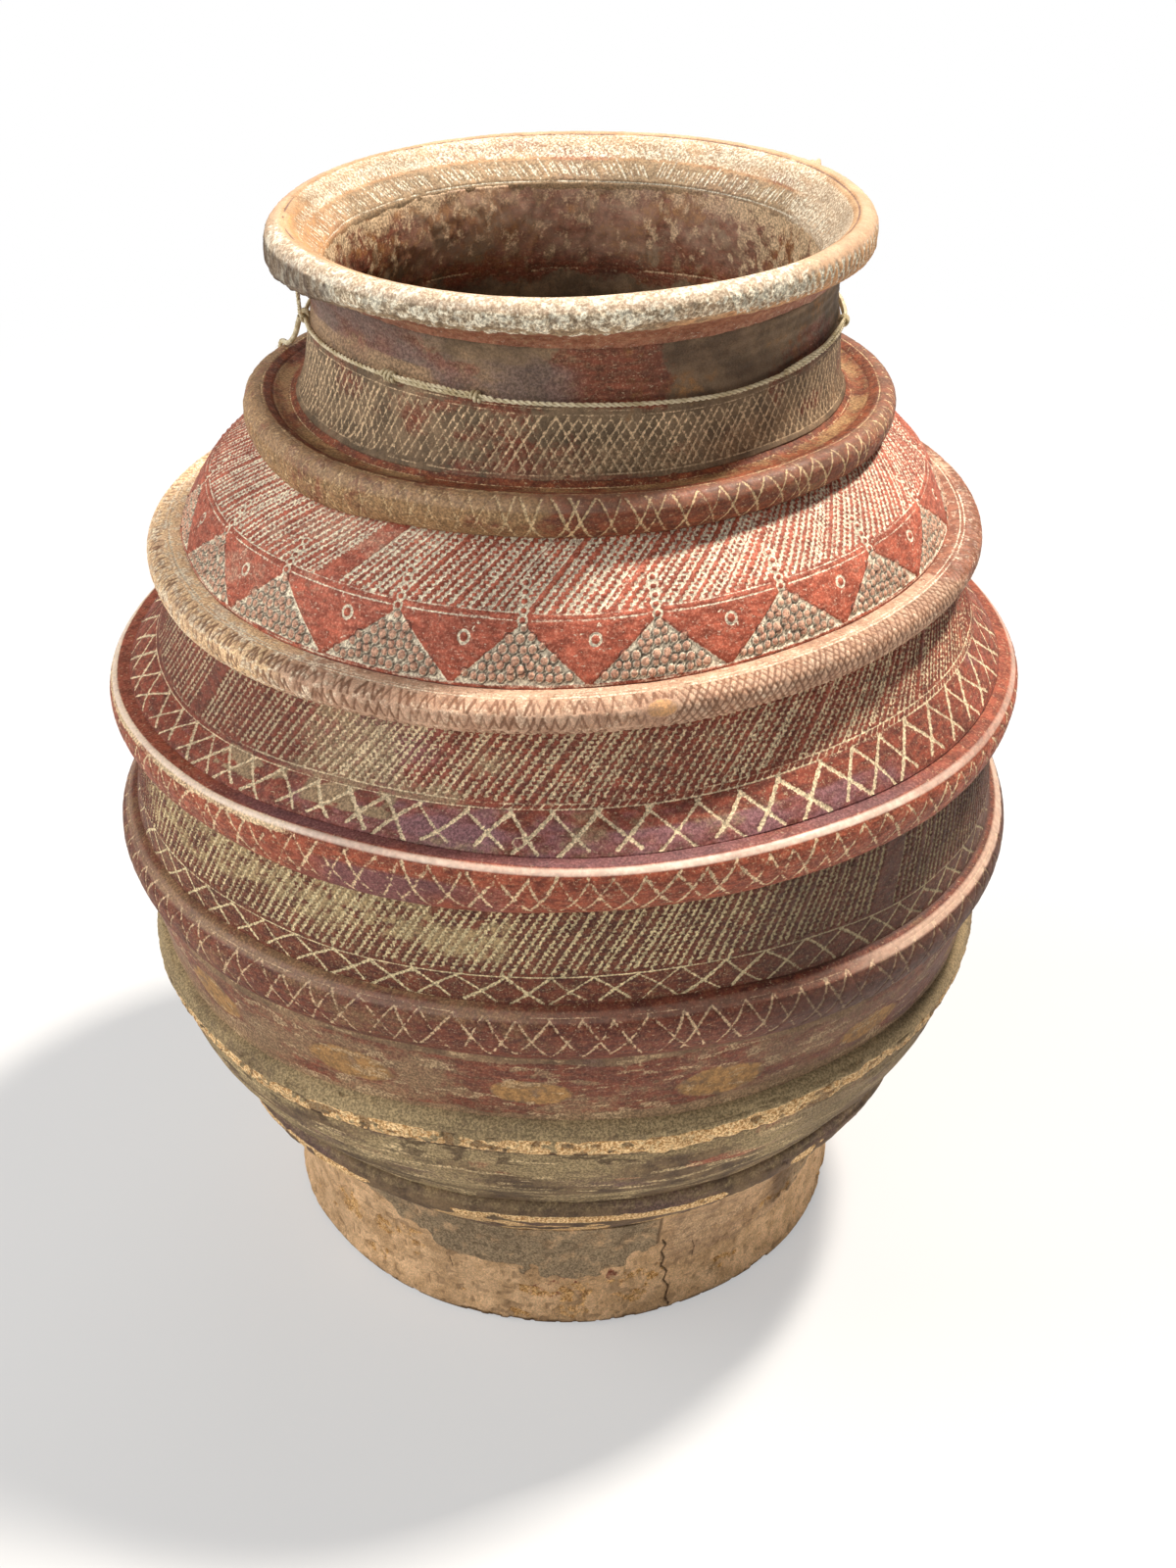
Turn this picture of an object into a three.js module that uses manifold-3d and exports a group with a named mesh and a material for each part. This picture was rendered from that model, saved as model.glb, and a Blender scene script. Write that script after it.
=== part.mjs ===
// Hand-built storage jar of fired clay, in millimetres, +Z up, standing on z = 0 with its axis on Z.
// The wall rises in courses that meet at bevelled seams, and a half-round ridge is luted over each seam.
import * as THREE from "three";
import { mergeVertices } from "three/addons/utils/BufferGeometryUtils.js";
import Module from "manifold-3d";

const wasm = await Module();
wasm.setup();

// Driving dimensions
const SIDES = 48;
const GAP = 0.3;
const WALL_THICKNESS = 13;
const BEVEL = 5;
const TWINE_DIAMETER = 3.2;

// Outer face of the wall from the foot to the neck: [radius, height] at each station.
const WALL = [
  [216, 98],
  [230, 113],
  [244, 131],
  [251, 146],
  [256.5, 161],
  [279, 191],
  [294, 229],
  [295, 246],
  [295, 262],
  [303, 305],
  [304, 339],
  [304, 359],
  [301.5, 390],
  [300, 425],
  [296, 445],
  [291, 461],
  [279, 488],
  [265, 530],
  [262, 542],
  [259, 555],
  [251, 572],
  [237, 593],
  [206, 626],
  [195, 636.5],
  [180, 650],
  [172, 686],
  [168.5, 706],
  [171, 728],
];

// Each course of wall runs between two seams, given as stations of WALL.
const COURSES = [
  { name: "lower_wall", from: 3, to: 7, colour: 0x8d7c5e },
  { name: "painted_wall", from: 7, to: 10, colour: 0x8a4d3b },
  { name: "lower_belly_wall", from: 10, to: 14, colour: 0x8b5a44 },
  { name: "upper_belly_wall", from: 14, to: 18, colour: 0x955543 },
  { name: "shoulder_wall", from: 18, to: 23, colour: 0xae6a4c },
  { name: "neck_wall", from: 23, to: 27, colour: 0x7f604d },
];

// Each ridge straps one seam. Its back sits on the wall at these stations, and on the wall at its foot height
// where that is between stations. Its face is the round section that it turns outwards, from the bottom up.
const RIDGES = [
  {
    name: "foot_ridge",
    seats: [2, 3, 4],
    face: [[254, 139.5], [258.8, 148], [259.3, 154], [258.4, 159.5]],
    colour: 0xa8865e,
  },
  {
    name: "worn_ridge",
    seats: [6, 7, 8],
    face: [[298.5, 234], [301.5, 241], [302, 250], [299.5, 258]],
    colour: 0xb98a5c,
  },
  {
    name: "low_ridge",
    seats: [10, 11],
    foot: 318,
    face: [[310, 324], [315, 336], [315.5, 347], [311.5, 356]],
    colour: 0x97503d,
  },
  {
    name: "belly_ridge",
    seats: [14, 15],
    foot: 431,
    face: [[306, 432.5], [311.5, 441], [313.5, 452], [310.5, 459.5], [302, 462]],
    colour: 0xa4573f,
  },
  {
    name: "shoulder_ridge",
    seats: [18, 19],
    foot: 532,
    face: [[272, 533], [278.5, 539.5], [280.5, 548], [276.5, 554], [268, 556]],
    colour: 0xb98e6c,
  },
  {
    name: "collar_ridge",
    seats: [22, 23, 24],
    face: [[209, 630], [213.5, 638], [213, 645.5], [208, 650], [197, 649.5]],
    colour: 0xa9694a,
  },
];

// Foot ring: inner face, the flat that it stands on, outer face, and the slope that takes the bowl.
const FOOT = [[192.4, 83.6], [190, 12], [192, 0], [208, 0], [209, 35], [211.5, 75], [215.4, 97.3]];

// Bowl-shaped bottom: underside from the axis out to the first seam, then its inner face back in.
const BOTTOM_UNDER = [[0, 62], [112, 65], [170, 74], [192.5, 84]];
const BOTTOM_INSIDE = [[216, 126], [196, 107], [160, 91], [105, 82], [0, 80]];

// Everted rim: rolled lip outside, flare down to the mouth's narrowest line inside.
const RIM_OUTSIDE = [[180, 737.5], [190, 740.5], [196.5, 746], [198, 752], [195, 757.5], [188.5, 760.5]];
const RIM_INSIDE = [[182, 758.5], [170, 746], [156.5, 730.5]];

// Twine round the neck's waist, with its knot on the left and its tail over the collar.
const TWINE_HEIGHT = 692;
const TWINE_RADIUS = 172.9;
const KNOT_AZIMUTH = -84;
const KNOT_RADII = [5.5, 2.9, 4.6];
// Route of the tail: [azimuth from the front in degrees, radius, height].
const TAIL = [
  [-86.7, 176.9, 690.2],
  [-90, 178.8, 683.2],
  [-96, 183, 672.4],
  [-102, 190.5, 662.3],
  [-107.5, 200.4, 655],
  [-110.7, 208.8, 652.3],
  [-112.2, 213.8, 649.6],
  [-112.9, 216, 644],
  [-113.3, 216.4, 636],
  [-113.6, 217.3, 627],
  [-113.9, 220.4, 617.6],
  [-114.2, 228.4, 608],
  [-114.5, 235.6, 600.6],
];

function clay(colour, roughness) {
  return new THREE.MeshStandardMaterial({ color: colour, roughness, metalness: 0 });
}

// Solid of revolution of a section of [radius, height] points, listed anticlockwise with the axis on the left.
function turned(section) {
  const loop = section.map(([r, z]) => new THREE.Vector2(r, z));
  if (section[0][0] > 0) loop.push(loop[0].clone());
  const geometry = new THREE.LatheGeometry(loop, SIDES);
  geometry.rotateX(Math.PI / 2);
  return geometry;
}

function addPart(group, name, geometry, material) {
  const mesh = new THREE.Mesh(geometry, material);
  mesh.name = name;
  group.add(mesh);
}

// Unit normal of the wall at a station, pointing away from the clay.
function wallNormal(station) {
  const before = WALL[Math.max(station - 1, 0)];
  const after = WALL[Math.min(station + 1, WALL.length - 1)];
  const along = new THREE.Vector2(after[0] - before[0], after[1] - before[1]).normalize();
  return new THREE.Vector2(along.y, -along.x);
}

// A point at a depth below the wall's outer face, shifted along the wall by a slide.
function inWall(station, depth, slide = 0) {
  const normal = wallNormal(station);
  const [r, z] = WALL[station];
  return [r - normal.x * depth - normal.y * slide, z - normal.y * depth + normal.x * slide];
}

// Seams slope up and inwards, so the upper course's weight closes them.
function seam(station, side) {
  const shift = (side * GAP) / 2;
  return {
    outer: inWall(station, 0, -BEVEL * 0.5 + shift * 1.3),
    inner: inWall(station, WALL_THICKNESS, BEVEL * 0.5 + shift * 1.3),
  };
}

function courseSection(from, to) {
  const low = seam(from, 1);
  const high = seam(to, -1);
  const outside = [];
  const inside = [];
  for (let station = from + 1; station < to; station++) {
    outside.push(inWall(station, 0));
    inside.push(inWall(station, WALL_THICKNESS));
  }
  return [low.inner, low.outer, ...outside, high.outer, high.inner, ...inside.reverse()];
}

// Radius of the wall's outer face at a height.
function wallRadius(height) {
  const i = WALL.findIndex(([, z]) => z >= height);
  const [r0, z0] = WALL[i - 1];
  const [r1, z1] = WALL[i];
  return r0 + ((r1 - r0) * (height - z0)) / (z1 - z0);
}

// The ridge's back follows the wall that it is pressed on.
function ridgeSection({ seats, foot, face }) {
  const back = seats.map((station) => inWall(station, -GAP));
  if (foot) back.unshift([wallRadius(foot) + GAP, foot]);
  return [...face, ...back.reverse()];
}

// Place on a ring: azimuth in degrees from the front (-Y), turning towards +X.
function onRing(azimuth, radius, height) {
  const angle = THREE.MathUtils.degToRad(azimuth);
  return new THREE.Vector3(radius * Math.sin(angle), -radius * Math.cos(angle), height);
}

function solid(geometry) {
  const bare = geometry.clone();
  bare.deleteAttribute("normal");
  bare.deleteAttribute("uv");
  const merged = mergeVertices(bare, 1e-4);
  return new wasm.Manifold(
    new wasm.Mesh({
      numProp: 3,
      vertProperties: new Float32Array(merged.attributes.position.array),
      triVerts: new Uint32Array(merged.index.array),
    }),
  );
}

function geometryOf(manifold) {
  const { vertProperties, triVerts } = manifold.getMesh();
  const geometry = new THREE.BufferGeometry();
  geometry.setAttribute("position", new THREE.BufferAttribute(new Float32Array(vertProperties), 3));
  geometry.setIndex(new THREE.BufferAttribute(new Uint32Array(triVerts), 1));
  geometry.computeVertexNormals();
  return geometry;
}

function twineRing() {
  const ring = new THREE.TorusGeometry(TWINE_RADIUS, TWINE_DIAMETER / 2, 8, SIDES);
  ring.translate(0, 0, TWINE_HEIGHT);
  const knot = new THREE.SphereGeometry(1, 10, 6);
  const angle = THREE.MathUtils.degToRad(KNOT_AZIMUTH);
  knot.scale(...KNOT_RADII);
  knot.rotateZ(angle);
  const at = onRing(KNOT_AZIMUTH, TWINE_RADIUS + 1.4, TWINE_HEIGHT + 2);
  knot.translate(at.x, at.y, at.z);
  return geometryOf(solid(ring).add(solid(knot)));
}

function twineTail() {
  const route = new THREE.CatmullRomCurve3(TAIL.map((point) => onRing(...point)));
  const section = new THREE.Shape();
  section.absarc(0, 0, TWINE_DIAMETER / 2, 0, 2 * Math.PI);
  return new THREE.ExtrudeGeometry(section, {
    steps: 26,
    curveSegments: 4,
    bevelEnabled: false,
    extrudePath: route,
  });
}

const jar = new THREE.Group();

addPart(jar, "foot_ring", turned(FOOT), clay(0xb08b63, 0.9));

const bottomSeam = seam(COURSES[0].from, -1);
const bottomRim = [inWall(0, 0), inWall(1, 0), inWall(2, 0), bottomSeam.outer, bottomSeam.inner];
addPart(jar, "bottom", turned([...BOTTOM_UNDER, ...bottomRim, ...BOTTOM_INSIDE]), clay(0x9b7c58, 0.92));

for (const { name, from, to, colour } of COURSES) {
  addPart(jar, name, turned(courseSection(from, to)), clay(colour, 0.75));
}

for (const ridge of RIDGES) {
  addPart(jar, ridge.name, turned(ridgeSection(ridge)), clay(ridge.colour, 0.6));
}

const rimSeam = seam(WALL.length - 1, 1);
addPart(
  jar,
  "rim",
  turned([rimSeam.inner, rimSeam.outer, ...RIM_OUTSIDE, ...RIM_INSIDE]),
  clay(0xc9a47f, 0.8),
);

const twine = new THREE.MeshStandardMaterial({ color: 0xcbbb97, roughness: 0.95, metalness: 0 });
addPart(jar, "neck_twine", twineRing(), twine);
addPart(jar, "twine_tail", twineTail(), twine);

export default jar;
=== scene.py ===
"""Hand-built clay storage jar with incised bands, raised ridges, a rolled rim and twine round its neck."""
import math
from functools import partialmethod

import bpy
import numpy as np
from mathutils import Matrix, Vector


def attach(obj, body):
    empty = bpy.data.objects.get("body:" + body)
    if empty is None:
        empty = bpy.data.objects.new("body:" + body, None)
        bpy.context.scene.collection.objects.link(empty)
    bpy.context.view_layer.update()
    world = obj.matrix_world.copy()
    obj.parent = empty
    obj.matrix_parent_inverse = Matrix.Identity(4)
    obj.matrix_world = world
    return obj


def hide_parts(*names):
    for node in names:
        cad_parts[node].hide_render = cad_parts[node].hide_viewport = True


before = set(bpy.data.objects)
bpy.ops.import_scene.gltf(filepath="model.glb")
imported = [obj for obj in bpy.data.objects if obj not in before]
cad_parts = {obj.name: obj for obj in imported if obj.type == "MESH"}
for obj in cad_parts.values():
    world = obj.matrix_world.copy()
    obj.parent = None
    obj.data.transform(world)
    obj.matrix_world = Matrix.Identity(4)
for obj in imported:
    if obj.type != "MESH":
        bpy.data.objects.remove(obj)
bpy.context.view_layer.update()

MM = 0.001
# Spacing of the mesh on worked faces, in mm
FINE = 0.95
# Steps between two points of an outline, before it is sampled evenly
STEPS = 40

# Outer face of the wall from the foot to the neck: [radius, height]
WALL = [
    [216, 98], [230, 113], [244, 131], [251, 146], [256.5, 161], [279, 191], [294, 229],
    [295, 246], [295, 262], [303, 305], [304, 339], [304, 359], [301.5, 390], [300, 425],
    [296, 445], [291, 461], [279, 488], [265, 530], [262, 542], [259, 555], [251, 572],
    [237, 593], [206, 626], [195, 636.5], [180, 650], [172, 686], [168.5, 706], [171, 728],
]
WALL_THICKNESS = 13

TWINE_HEIGHT = 692
TWINE_RADIUS = 172.9
TWINE_DIAMETER = 3.2
PLIES = 2
# How far a ply's middle lies from the twine's and how thick it is, as shares of the twine's diameter
PLY_OFFSET = 0.235
PLY_RADIUS = 0.275
# Route of the twine's loose tail: [azimuth from the front, radius, height]
TAIL = [
    [-86.7, 176.9, 690.2], [-90, 178.8, 683.2], [-96, 183, 672.4], [-102, 190.5, 662.3],
    [-107.5, 200.4, 655], [-110.7, 208.8, 652.3], [-112.2, 213.8, 649.6], [-112.9, 216, 644],
    [-113.3, 216.4, 636], [-113.6, 217.3, 627], [-113.9, 220.4, 617.6], [-114.2, 228.4, 608],
    [-114.5, 235.6, 600.6],
]

# A cord's bite along a stroke, and two longer waves in a stroke's width, in mm
BEAD_LENGTH, SWELL_LENGTHS = 3.4, (7.3, 17)
# Over how many mm the edge of a stroke, and of a line or stamp, falls away, so that the mesh can show it
STROKE_EDGE, LINE_EDGE = 0.95, 0.9
# A full turn, in radians
TURN = 6.283

# What covers the clay at each point, kept as attributes of the mesh that the materials read. Besides real
# soot and dirt, the soot mask paints shade; bloom also paints light and shade; gloss also paints highlights.
MASKS = ("slip", "fill", "coat", "bloom", "ochre", "worn", "soot", "gloss")
# How much of it covers the plain sides of a piece; the soot there is painted shade on the insides
INSIDE = {"slip": 0.15, "soot": 0.3, "bloom": 0.2}


def tone(code, gain=1.0):
    """Linear colour of an sRGB hex code."""
    parts = [int(code[i : i + 2], 16) / 255 for i in (1, 3, 5)]
    linear = [c / 12.92 if c <= 0.04045 else ((c + 0.055) / 1.055) ** 2.4 for c in parts]
    return (*[min(c * gain, 1.0) for c in linear], 1.0)


def ease(low, high, x):
    """0 below low, 1 above high, smooth between."""
    t = np.clip((np.asarray(x, float) - low) / (high - low), 0, 1)
    return t * t * (3 - 2 * t)


# How far hand-building has lifted each round, in mm: heights by row, azimuths by column
LIFT_AZIMUTHS = [-180, -120, -90, -60, -45, -30, -15, 0, 15, 30, 45, 60, 90, 120]
LIFTS = {
    0: [0, 0, 0, 0, 0, 0, 0, 0, 0, 0, 0, 0, 0, 0],
    120: [0, 0, 0, 0, 0, 0, -1, -1, -1, -1, 0, 0, 0, 0],
    152: [0, 0, 0, 0, 0, -1, -3, -3, -4, -3, 0, 0, 0, 0],
    247: [0, -1, -1, -1, -3, 0, 3, 1, -2, 3, 6, 4, 2, 0],
    317: [0, 0, 0, -1, -2, -1, 3, 1, 0, -4, -5, -4, -1, 0],
    345: [0, 0, 0, -1, -2, -2, 2, 0, 0, -5, -7, -5, -2, 0],
    380: [0, -1, -2, -3, -4.5, -6, -3, -1, 1, -1, -7.5, -6, -3, -1],
    431: [0, -2, -4, -5, -5, -8, -7.5, -3, 0, -1.5, -2.5, -2, -1, 0],
    459: [0, -3, -3, 1, 0, 3.5, 3, 2, 4, 4, 1, -1, -3, -2],
    487: [0, -4, -8, -13, -9.5, -5, -3.5, 0.5, 3, 6.7, 7, 4, 1, 0],
    533: [0, -4, -9, -9, -6.5, -6, -5.3, -0.7, 1.8, 6.3, 6, 4, 2, 0],
    557: [0, -3, -5, -5, -5, -6, -6, -3, 0.5, 5, 5, 3, 1, 0],
    588: [0, -1, -2, -1, 2, 1, 1.5, 0.7, 5, 7.5, 5.5, 4, 2, 0],
    630: [-9, -8, -9, -10, -10, -4, -2.5, -2, -1, 0, -1, -4, -9, -10],
    652: [-9, -8, -6, -4, -3, -1, 0, 0, 0, 0, 0, -3, -8, -9],
    692: [-3, -2, 0, 4, 5.5, 5, 3, 1.5, -0.5, -2, 0, 0, -1, -2],
    728: [0, 0, 0, 2, 3, 2, 1, 0, 0, 0, 0, 0, 0, 0],
}
LIFT_HEIGHTS = np.array(list(LIFTS), float)
LIFT_ROWS = np.array(
    [np.interp(np.arange(-180, 180), LIFT_AZIMUTHS, row, period=360) for row in LIFTS.values()]
)
ROUND = np.hanning(19)[1:-1] / np.hanning(19).sum()
LIFT_ROWS = sum(share * np.roll(LIFT_ROWS, k - 8, axis=1) for k, share in enumerate(ROUND))


def near(angle, azimuth, reach):
    """1 at an azimuth, falling smoothly to 0 at reach degrees from it."""
    away = np.abs((np.degrees(angle) - azimuth + 180) % 360 - 180)
    return 1 - ease(0, reach, away)


def settle(x, y, z):
    """The jar as its maker left it: rounds that rise and dip, a leaning neck, an oval, tilted rim."""
    angle = np.arctan2(x, -y)
    radius = np.hypot(x, y)
    # In and out: hand-built rounds are never true, and the slope over the foot is dented at the left
    waver = (
        0.9 * np.sin(3 * angle + 1.1 + z / 90)
        + 0.6 * np.sin(5 * angle + 2.3 - z / 60)
        + 0.35 * np.sin(9 * angle + 0.4 + z / 37)
    ) * ease(60, 160, radius)
    waver = waver - 6 * near(angle, -90, 55) * ease(120, 145, z) * (1 - ease(160, 190, z))
    # Up and down: a slow wave and the table of what the photo shows
    lift = (
        0.9 * np.sin(2 * angle + 0.7 + z / 170) + 0.5 * np.sin(5 * angle + 1.9 - z / 110)
    ) * ease(30, 150, z) * ease(60, 160, radius)
    v = np.interp(z, LIFT_HEIGHTS, np.arange(len(LIFT_HEIGHTS)))
    u = (np.degrees(angle) + 180) % 360
    i, j = np.minimum(v.astype(int), len(LIFT_HEIGHTS) - 2), u.astype(int) % 360
    a, b, k = v - i, u - np.floor(u), (j + 1) % 360
    table = LIFT_ROWS[i, j] * (1 - a) * (1 - b) + LIFT_ROWS[i, k] * (1 - a) * b
    table = table + LIFT_ROWS[i + 1, j] * a * (1 - b) + LIFT_ROWS[i + 1, k] * a * b
    lift = lift + table * ease(60, 160, radius)
    scale = 1 + waver / np.maximum(radius, 1)
    x = x * scale
    y = y * scale
    lean = np.interp(
        z, [0, 350, 450, 550, 600, 640, 692, 720, 750, 770], [-2, 0, 1.5, 1.5, 4, 5.5, 9, 8.5, 6.5, 6.5]
    )
    # The rim is oval and tilted, and its lip hangs at both sides
    oval = ease(160, 198, radius) * ease(725, 745, z)
    lift = lift * (1 - oval) + (0.014 * x - 0.031 * y) * oval
    hang = ease(184, 192, radius) * ease(733, 741, z) * (1 - ease(747, 755, z))
    lift = lift - hang * (12 * near(angle, -90, 60) + 8 * near(angle, 90, 60))
    return x * (1 - 0.033 * oval) + lean, y * (1 + 0.048 * oval) - oval, z + lift


def run_along(line):
    """Distance from the start at each [radius, height] point of a line."""
    return np.concatenate([[0], np.cumsum(np.hypot(*np.diff(line, axis=0).T))])


def sampled(line, spacing):
    """Points about this far apart along a line."""
    run = run_along(line)
    even = np.linspace(0, run[-1], max(2, round(run[-1] / spacing) + 1))
    return np.stack([np.interp(even, run, line[:, 0]), np.interp(even, run, line[:, 1])], 1)


def outward(line):
    """Unit normal at each point of a line that rises, pointing away from the axis."""
    along = np.gradient(line, axis=0)
    along /= np.hypot(*along.T)[:, None]
    return np.stack([along[:, 1], -along[:, 0]], 1)


def run_through(points, spacing):
    """(distances at the points, path) of a smooth curve through [radius, height] points, evenly sampled."""
    p = np.asarray(points, float)
    h = np.hypot(*np.diff(p, axis=0).T)
    slope = np.diff(p, axis=0) / h[:, None]
    tangent = np.empty_like(p)
    tangent[0], tangent[-1] = slope[0], slope[-1]
    tangent[1:-1] = (slope[:-1] * h[1:, None] + slope[1:] * h[:-1, None]) / (h[1:] + h[:-1])[:, None]
    dense = []
    for i, size in enumerate(h):
        t = np.linspace(0, 1, STEPS, endpoint=False)[:, None]
        dense.append(
            (2 * t**3 - 3 * t**2 + 1) * p[i]
            + (t**3 - 2 * t**2 + t) * size * tangent[i]
            + (3 * t**2 - 2 * t**3) * p[i + 1]
            + (t**3 - t**2) * size * tangent[i + 1]
        )
    dense = np.vstack([*dense, p[-1:]])
    return run_along(dense)[::STEPS], sampled(dense, spacing)


WALL_LINE = run_through(WALL, 0.25)[1]


def between(low, high, spacing):
    """The wall's outer line between two heights."""
    radius = np.interp([low, high], WALL_LINE[:, 1], WALL_LINE[:, 0])
    middle = WALL_LINE[(WALL_LINE[:, 1] > low + 0.2) & (WALL_LINE[:, 1] < high - 0.2)]
    line = np.vstack([[radius[0], low], middle, [radius[1], high]])
    return sampled(line, spacing)


def in_wall(station, depth):
    """A point below the wall's outer face at one of its stations."""
    before = WALL[max(station - 1, 0)]
    after = WALL[min(station + 1, len(WALL) - 1)]
    dr, dz = after[0] - before[0], after[1] - before[1]
    size = math.hypot(dr, dz)
    r, z = WALL[station]
    return [r - dz / size * depth, z + dr / size * depth]


class Face:
    """A worked face of revolution: rows along its profile, columns round it, in millimetres."""

    def __init__(self, path, columns, seed):
        self.path = np.asarray(path, float)
        self.r, self.z = self.path.T
        self.s = run_along(self.path)
        self.n = outward(self.path)
        self.columns = columns
        self.azimuth = np.arange(columns) / columns * 360 - 180
        self.rng = np.random.default_rng(seed)
        self.relief = np.zeros((len(self.path), columns), np.float32)
        self.cut = np.zeros_like(self.relief)
        self.masks = {name: np.zeros_like(self.relief) for name in MASKS}

    def at(self, height):
        """Distance up a rising face at a height."""
        return float(np.interp(height, self.z, self.s))

    def radius(self, s):
        """Radius at a distance up the face."""
        return float(np.interp(s, self.s, self.r))

    def some(self, low, high):
        """A random value between two."""
        return self.rng.uniform(low, high)

    def off(self, spread):
        """A random error about 0."""
        return self.rng.normal(0, spread)

    def ring_noise(self, cells):
        """Smooth noise round the jar, from -1 to 1."""
        grid = self.rng.uniform(-1, 1, cells)
        u = np.arange(self.columns) / self.columns * cells
        i = u.astype(int)
        t = u - i
        t = t * t * (3 - 2 * t)
        return grid[i % cells] * (1 - t) + grid[(i + 1) % cells] * t

    def cloud(self, size, stretch=1.0, octaves=3):
        """Smooth patches about this size, from -1 to 1, drawn out round the jar by stretch."""
        total = np.zeros_like(self.relief)
        share, whole = 1.0, 0.0
        for _ in range(octaves):
            nu = max(4, round(2 * math.pi * self.r.mean() / (size * stretch)))
            nv = int(self.s[-1] / size) + 3
            grid = self.rng.uniform(-1, 1, (nv + 1, nu)).astype(np.float32)
            u = np.arange(self.columns) / self.columns * nu
            v = self.s / size + self.some(0, 1)
            i, j = v.astype(int), u.astype(int)
            a, b = (v - i)[:, None], (u - j)[None, :]
            a, b = a * a * (3 - 2 * a), b * b * (3 - 2 * b)
            j2 = (j + 1) % nu
            j = j % nu
            low = grid[np.ix_(i, j)] * (1 - b) + grid[np.ix_(i, j2)] * b
            high = grid[np.ix_(i + 1, j)] * (1 - b) + grid[np.ix_(i + 1, j2)] * b
            total += share * (low * (1 - a) + high * a)
            whole += share
            share *= 0.55
            size /= 2.1
        return np.clip(total * 1.6 / whole, -1, 1)

    def lump(self, fine, coarse, size, grain=5):
        """Unevenness of the clay: a fine one of a grain's size and a coarse one."""
        self.relief += fine * self.cloud(grain, octaves=2) + coarse * self.cloud(size, 2)

    def sector(self, start, end, soft=6.0):
        """1 between two azimuths, fading over soft degrees beyond them, as one row."""
        middle, half = (start + end) / 2, (end - start) / 2
        away = np.abs((self.azimuth - middle + 180) % 360 - 180)
        return 1 - ease(half, half + soft, away)[None, :]

    def zone(self, low, high, soft=2.0):
        """1 between two distances up the face, fading over soft beyond them, as one column."""
        return (ease(low - soft, low, self.s) * (1 - ease(high, high + soft, self.s)))[:, None]

    def belt(self, low, high, soft):
        """1 between two heights of a rising face, fading over soft mm beyond them, as one column."""
        return self.zone(self.at(low), self.at(high), soft)

    def spot(self, azimuth, s, width, height, soft=0.35):
        """1 in an oval about a place, fading at its edge."""
        x = ((self.azimuth - azimuth + 180) % 360 - 180)[None, :] * np.radians(self.r)[:, None]
        y = (self.s - s)[:, None]
        away = np.hypot(x / (width / 2), y / (height / 2))
        return 1 - ease(1 - soft, 1 + soft, away)

    def cover(self, name, amount, most=1.0, where=1.0):
        """Covers the face by this amount, up to the most given, and only where it is said."""
        amount = np.maximum(self.masks[name], np.clip(amount, 0, most) * where)
        self.masks[name] = np.minimum(amount, 1).astype(np.float32)

    def bare(self, name, amount):
        """Takes a covering away where amount is 1."""
        self.masks[name] = (self.masks[name] * np.clip(1 - amount, 0, 1)).astype(np.float32)

    def _raise(self, name, place, amount):
        mask = self.masks[name]
        mask[place] = np.maximum(mask[place], amount)

    def _window(self, azimuth, half, low, high):
        """Rows, indices and sideways offsets of a patch of the face about an azimuth."""
        rows = slice(int(np.searchsorted(self.s, low)), int(np.searchsorted(self.s, high)))
        first = math.floor((azimuth - half + 180) / 360 * self.columns)
        last = math.ceil((azimuth + half + 180) / 360 * self.columns)
        columns = np.arange(first, last + 1)
        x = np.radians(columns / self.columns * 360 - 180 - azimuth) * self.r[rows, None]
        place = np.ix_(np.arange(rows.start, rows.stop), columns % self.columns)
        return rows, place, x

    def stroke(self, a0, s0, a1, s1, width, depth, fill=1.0, soot=0.0, bead=0.0, bow=0.0):
        """A stroke from one place to another. Beads make it a row of bites, as a twisted cord leaves."""
        reach = width + abs(bow) + 2
        low, high = min(s0, s1) - reach, max(s0, s1) + reach
        radius = self.radius((s0 + s1) / 2)
        half = abs(a1 - a0) / 2 + math.degrees(reach / radius)
        rows, place, x = self._window((a0 + a1) / 2, half, low, high)
        if rows.stop <= rows.start:
            return
        ex, ey = math.radians(a1 - a0) * radius, s1 - s0
        length = math.hypot(ex, ey) + 1e-6
        x = x + ex / 2
        y = (self.s[rows] - s0)[:, None]
        t = np.clip((x * ex + y * ey) / length**2, 0, 1)
        bend = bow * 4 * t * (1 - t)
        # Deep beads also wander sideways, as a cord's plies do
        if bead > 0.3:
            bend = bend + 0.55 * np.sin(t * length * TURN / BEAD_LENGTH + self.some(0, 6.3))
        away = np.hypot(x - t * ex - bend * ey / length, y - t * ey + bend * ex / length)
        phase = self.rng.uniform(0, 6.3, 3)
        half_width = width / 2 * (
            1
            + bead * np.sin(t * length * TURN / BEAD_LENGTH + phase[0])
            + 0.16 * np.sin(t * length * TURN / SWELL_LENGTHS[0] + phase[1])
            + 0.1 * np.sin(t * length * TURN / SWELL_LENGTHS[1] + phase[2])
        )
        core = np.clip((half_width - away) / STROKE_EDGE + 0.5, 0, 1)
        self.cut[place] = np.maximum(self.cut[place], core * depth)
        # Along a filled stroke's edges, and all over an unfilled one, the soot is painted shade in the
        # groove
        if fill:
            self._raise("fill", place, core * fill)
            groove_shade = 2.0 * core * (1 - core) * min(1, depth)
        else:
            groove_shade = core * soot
        self._raise("soot", place, groove_shade)

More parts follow.
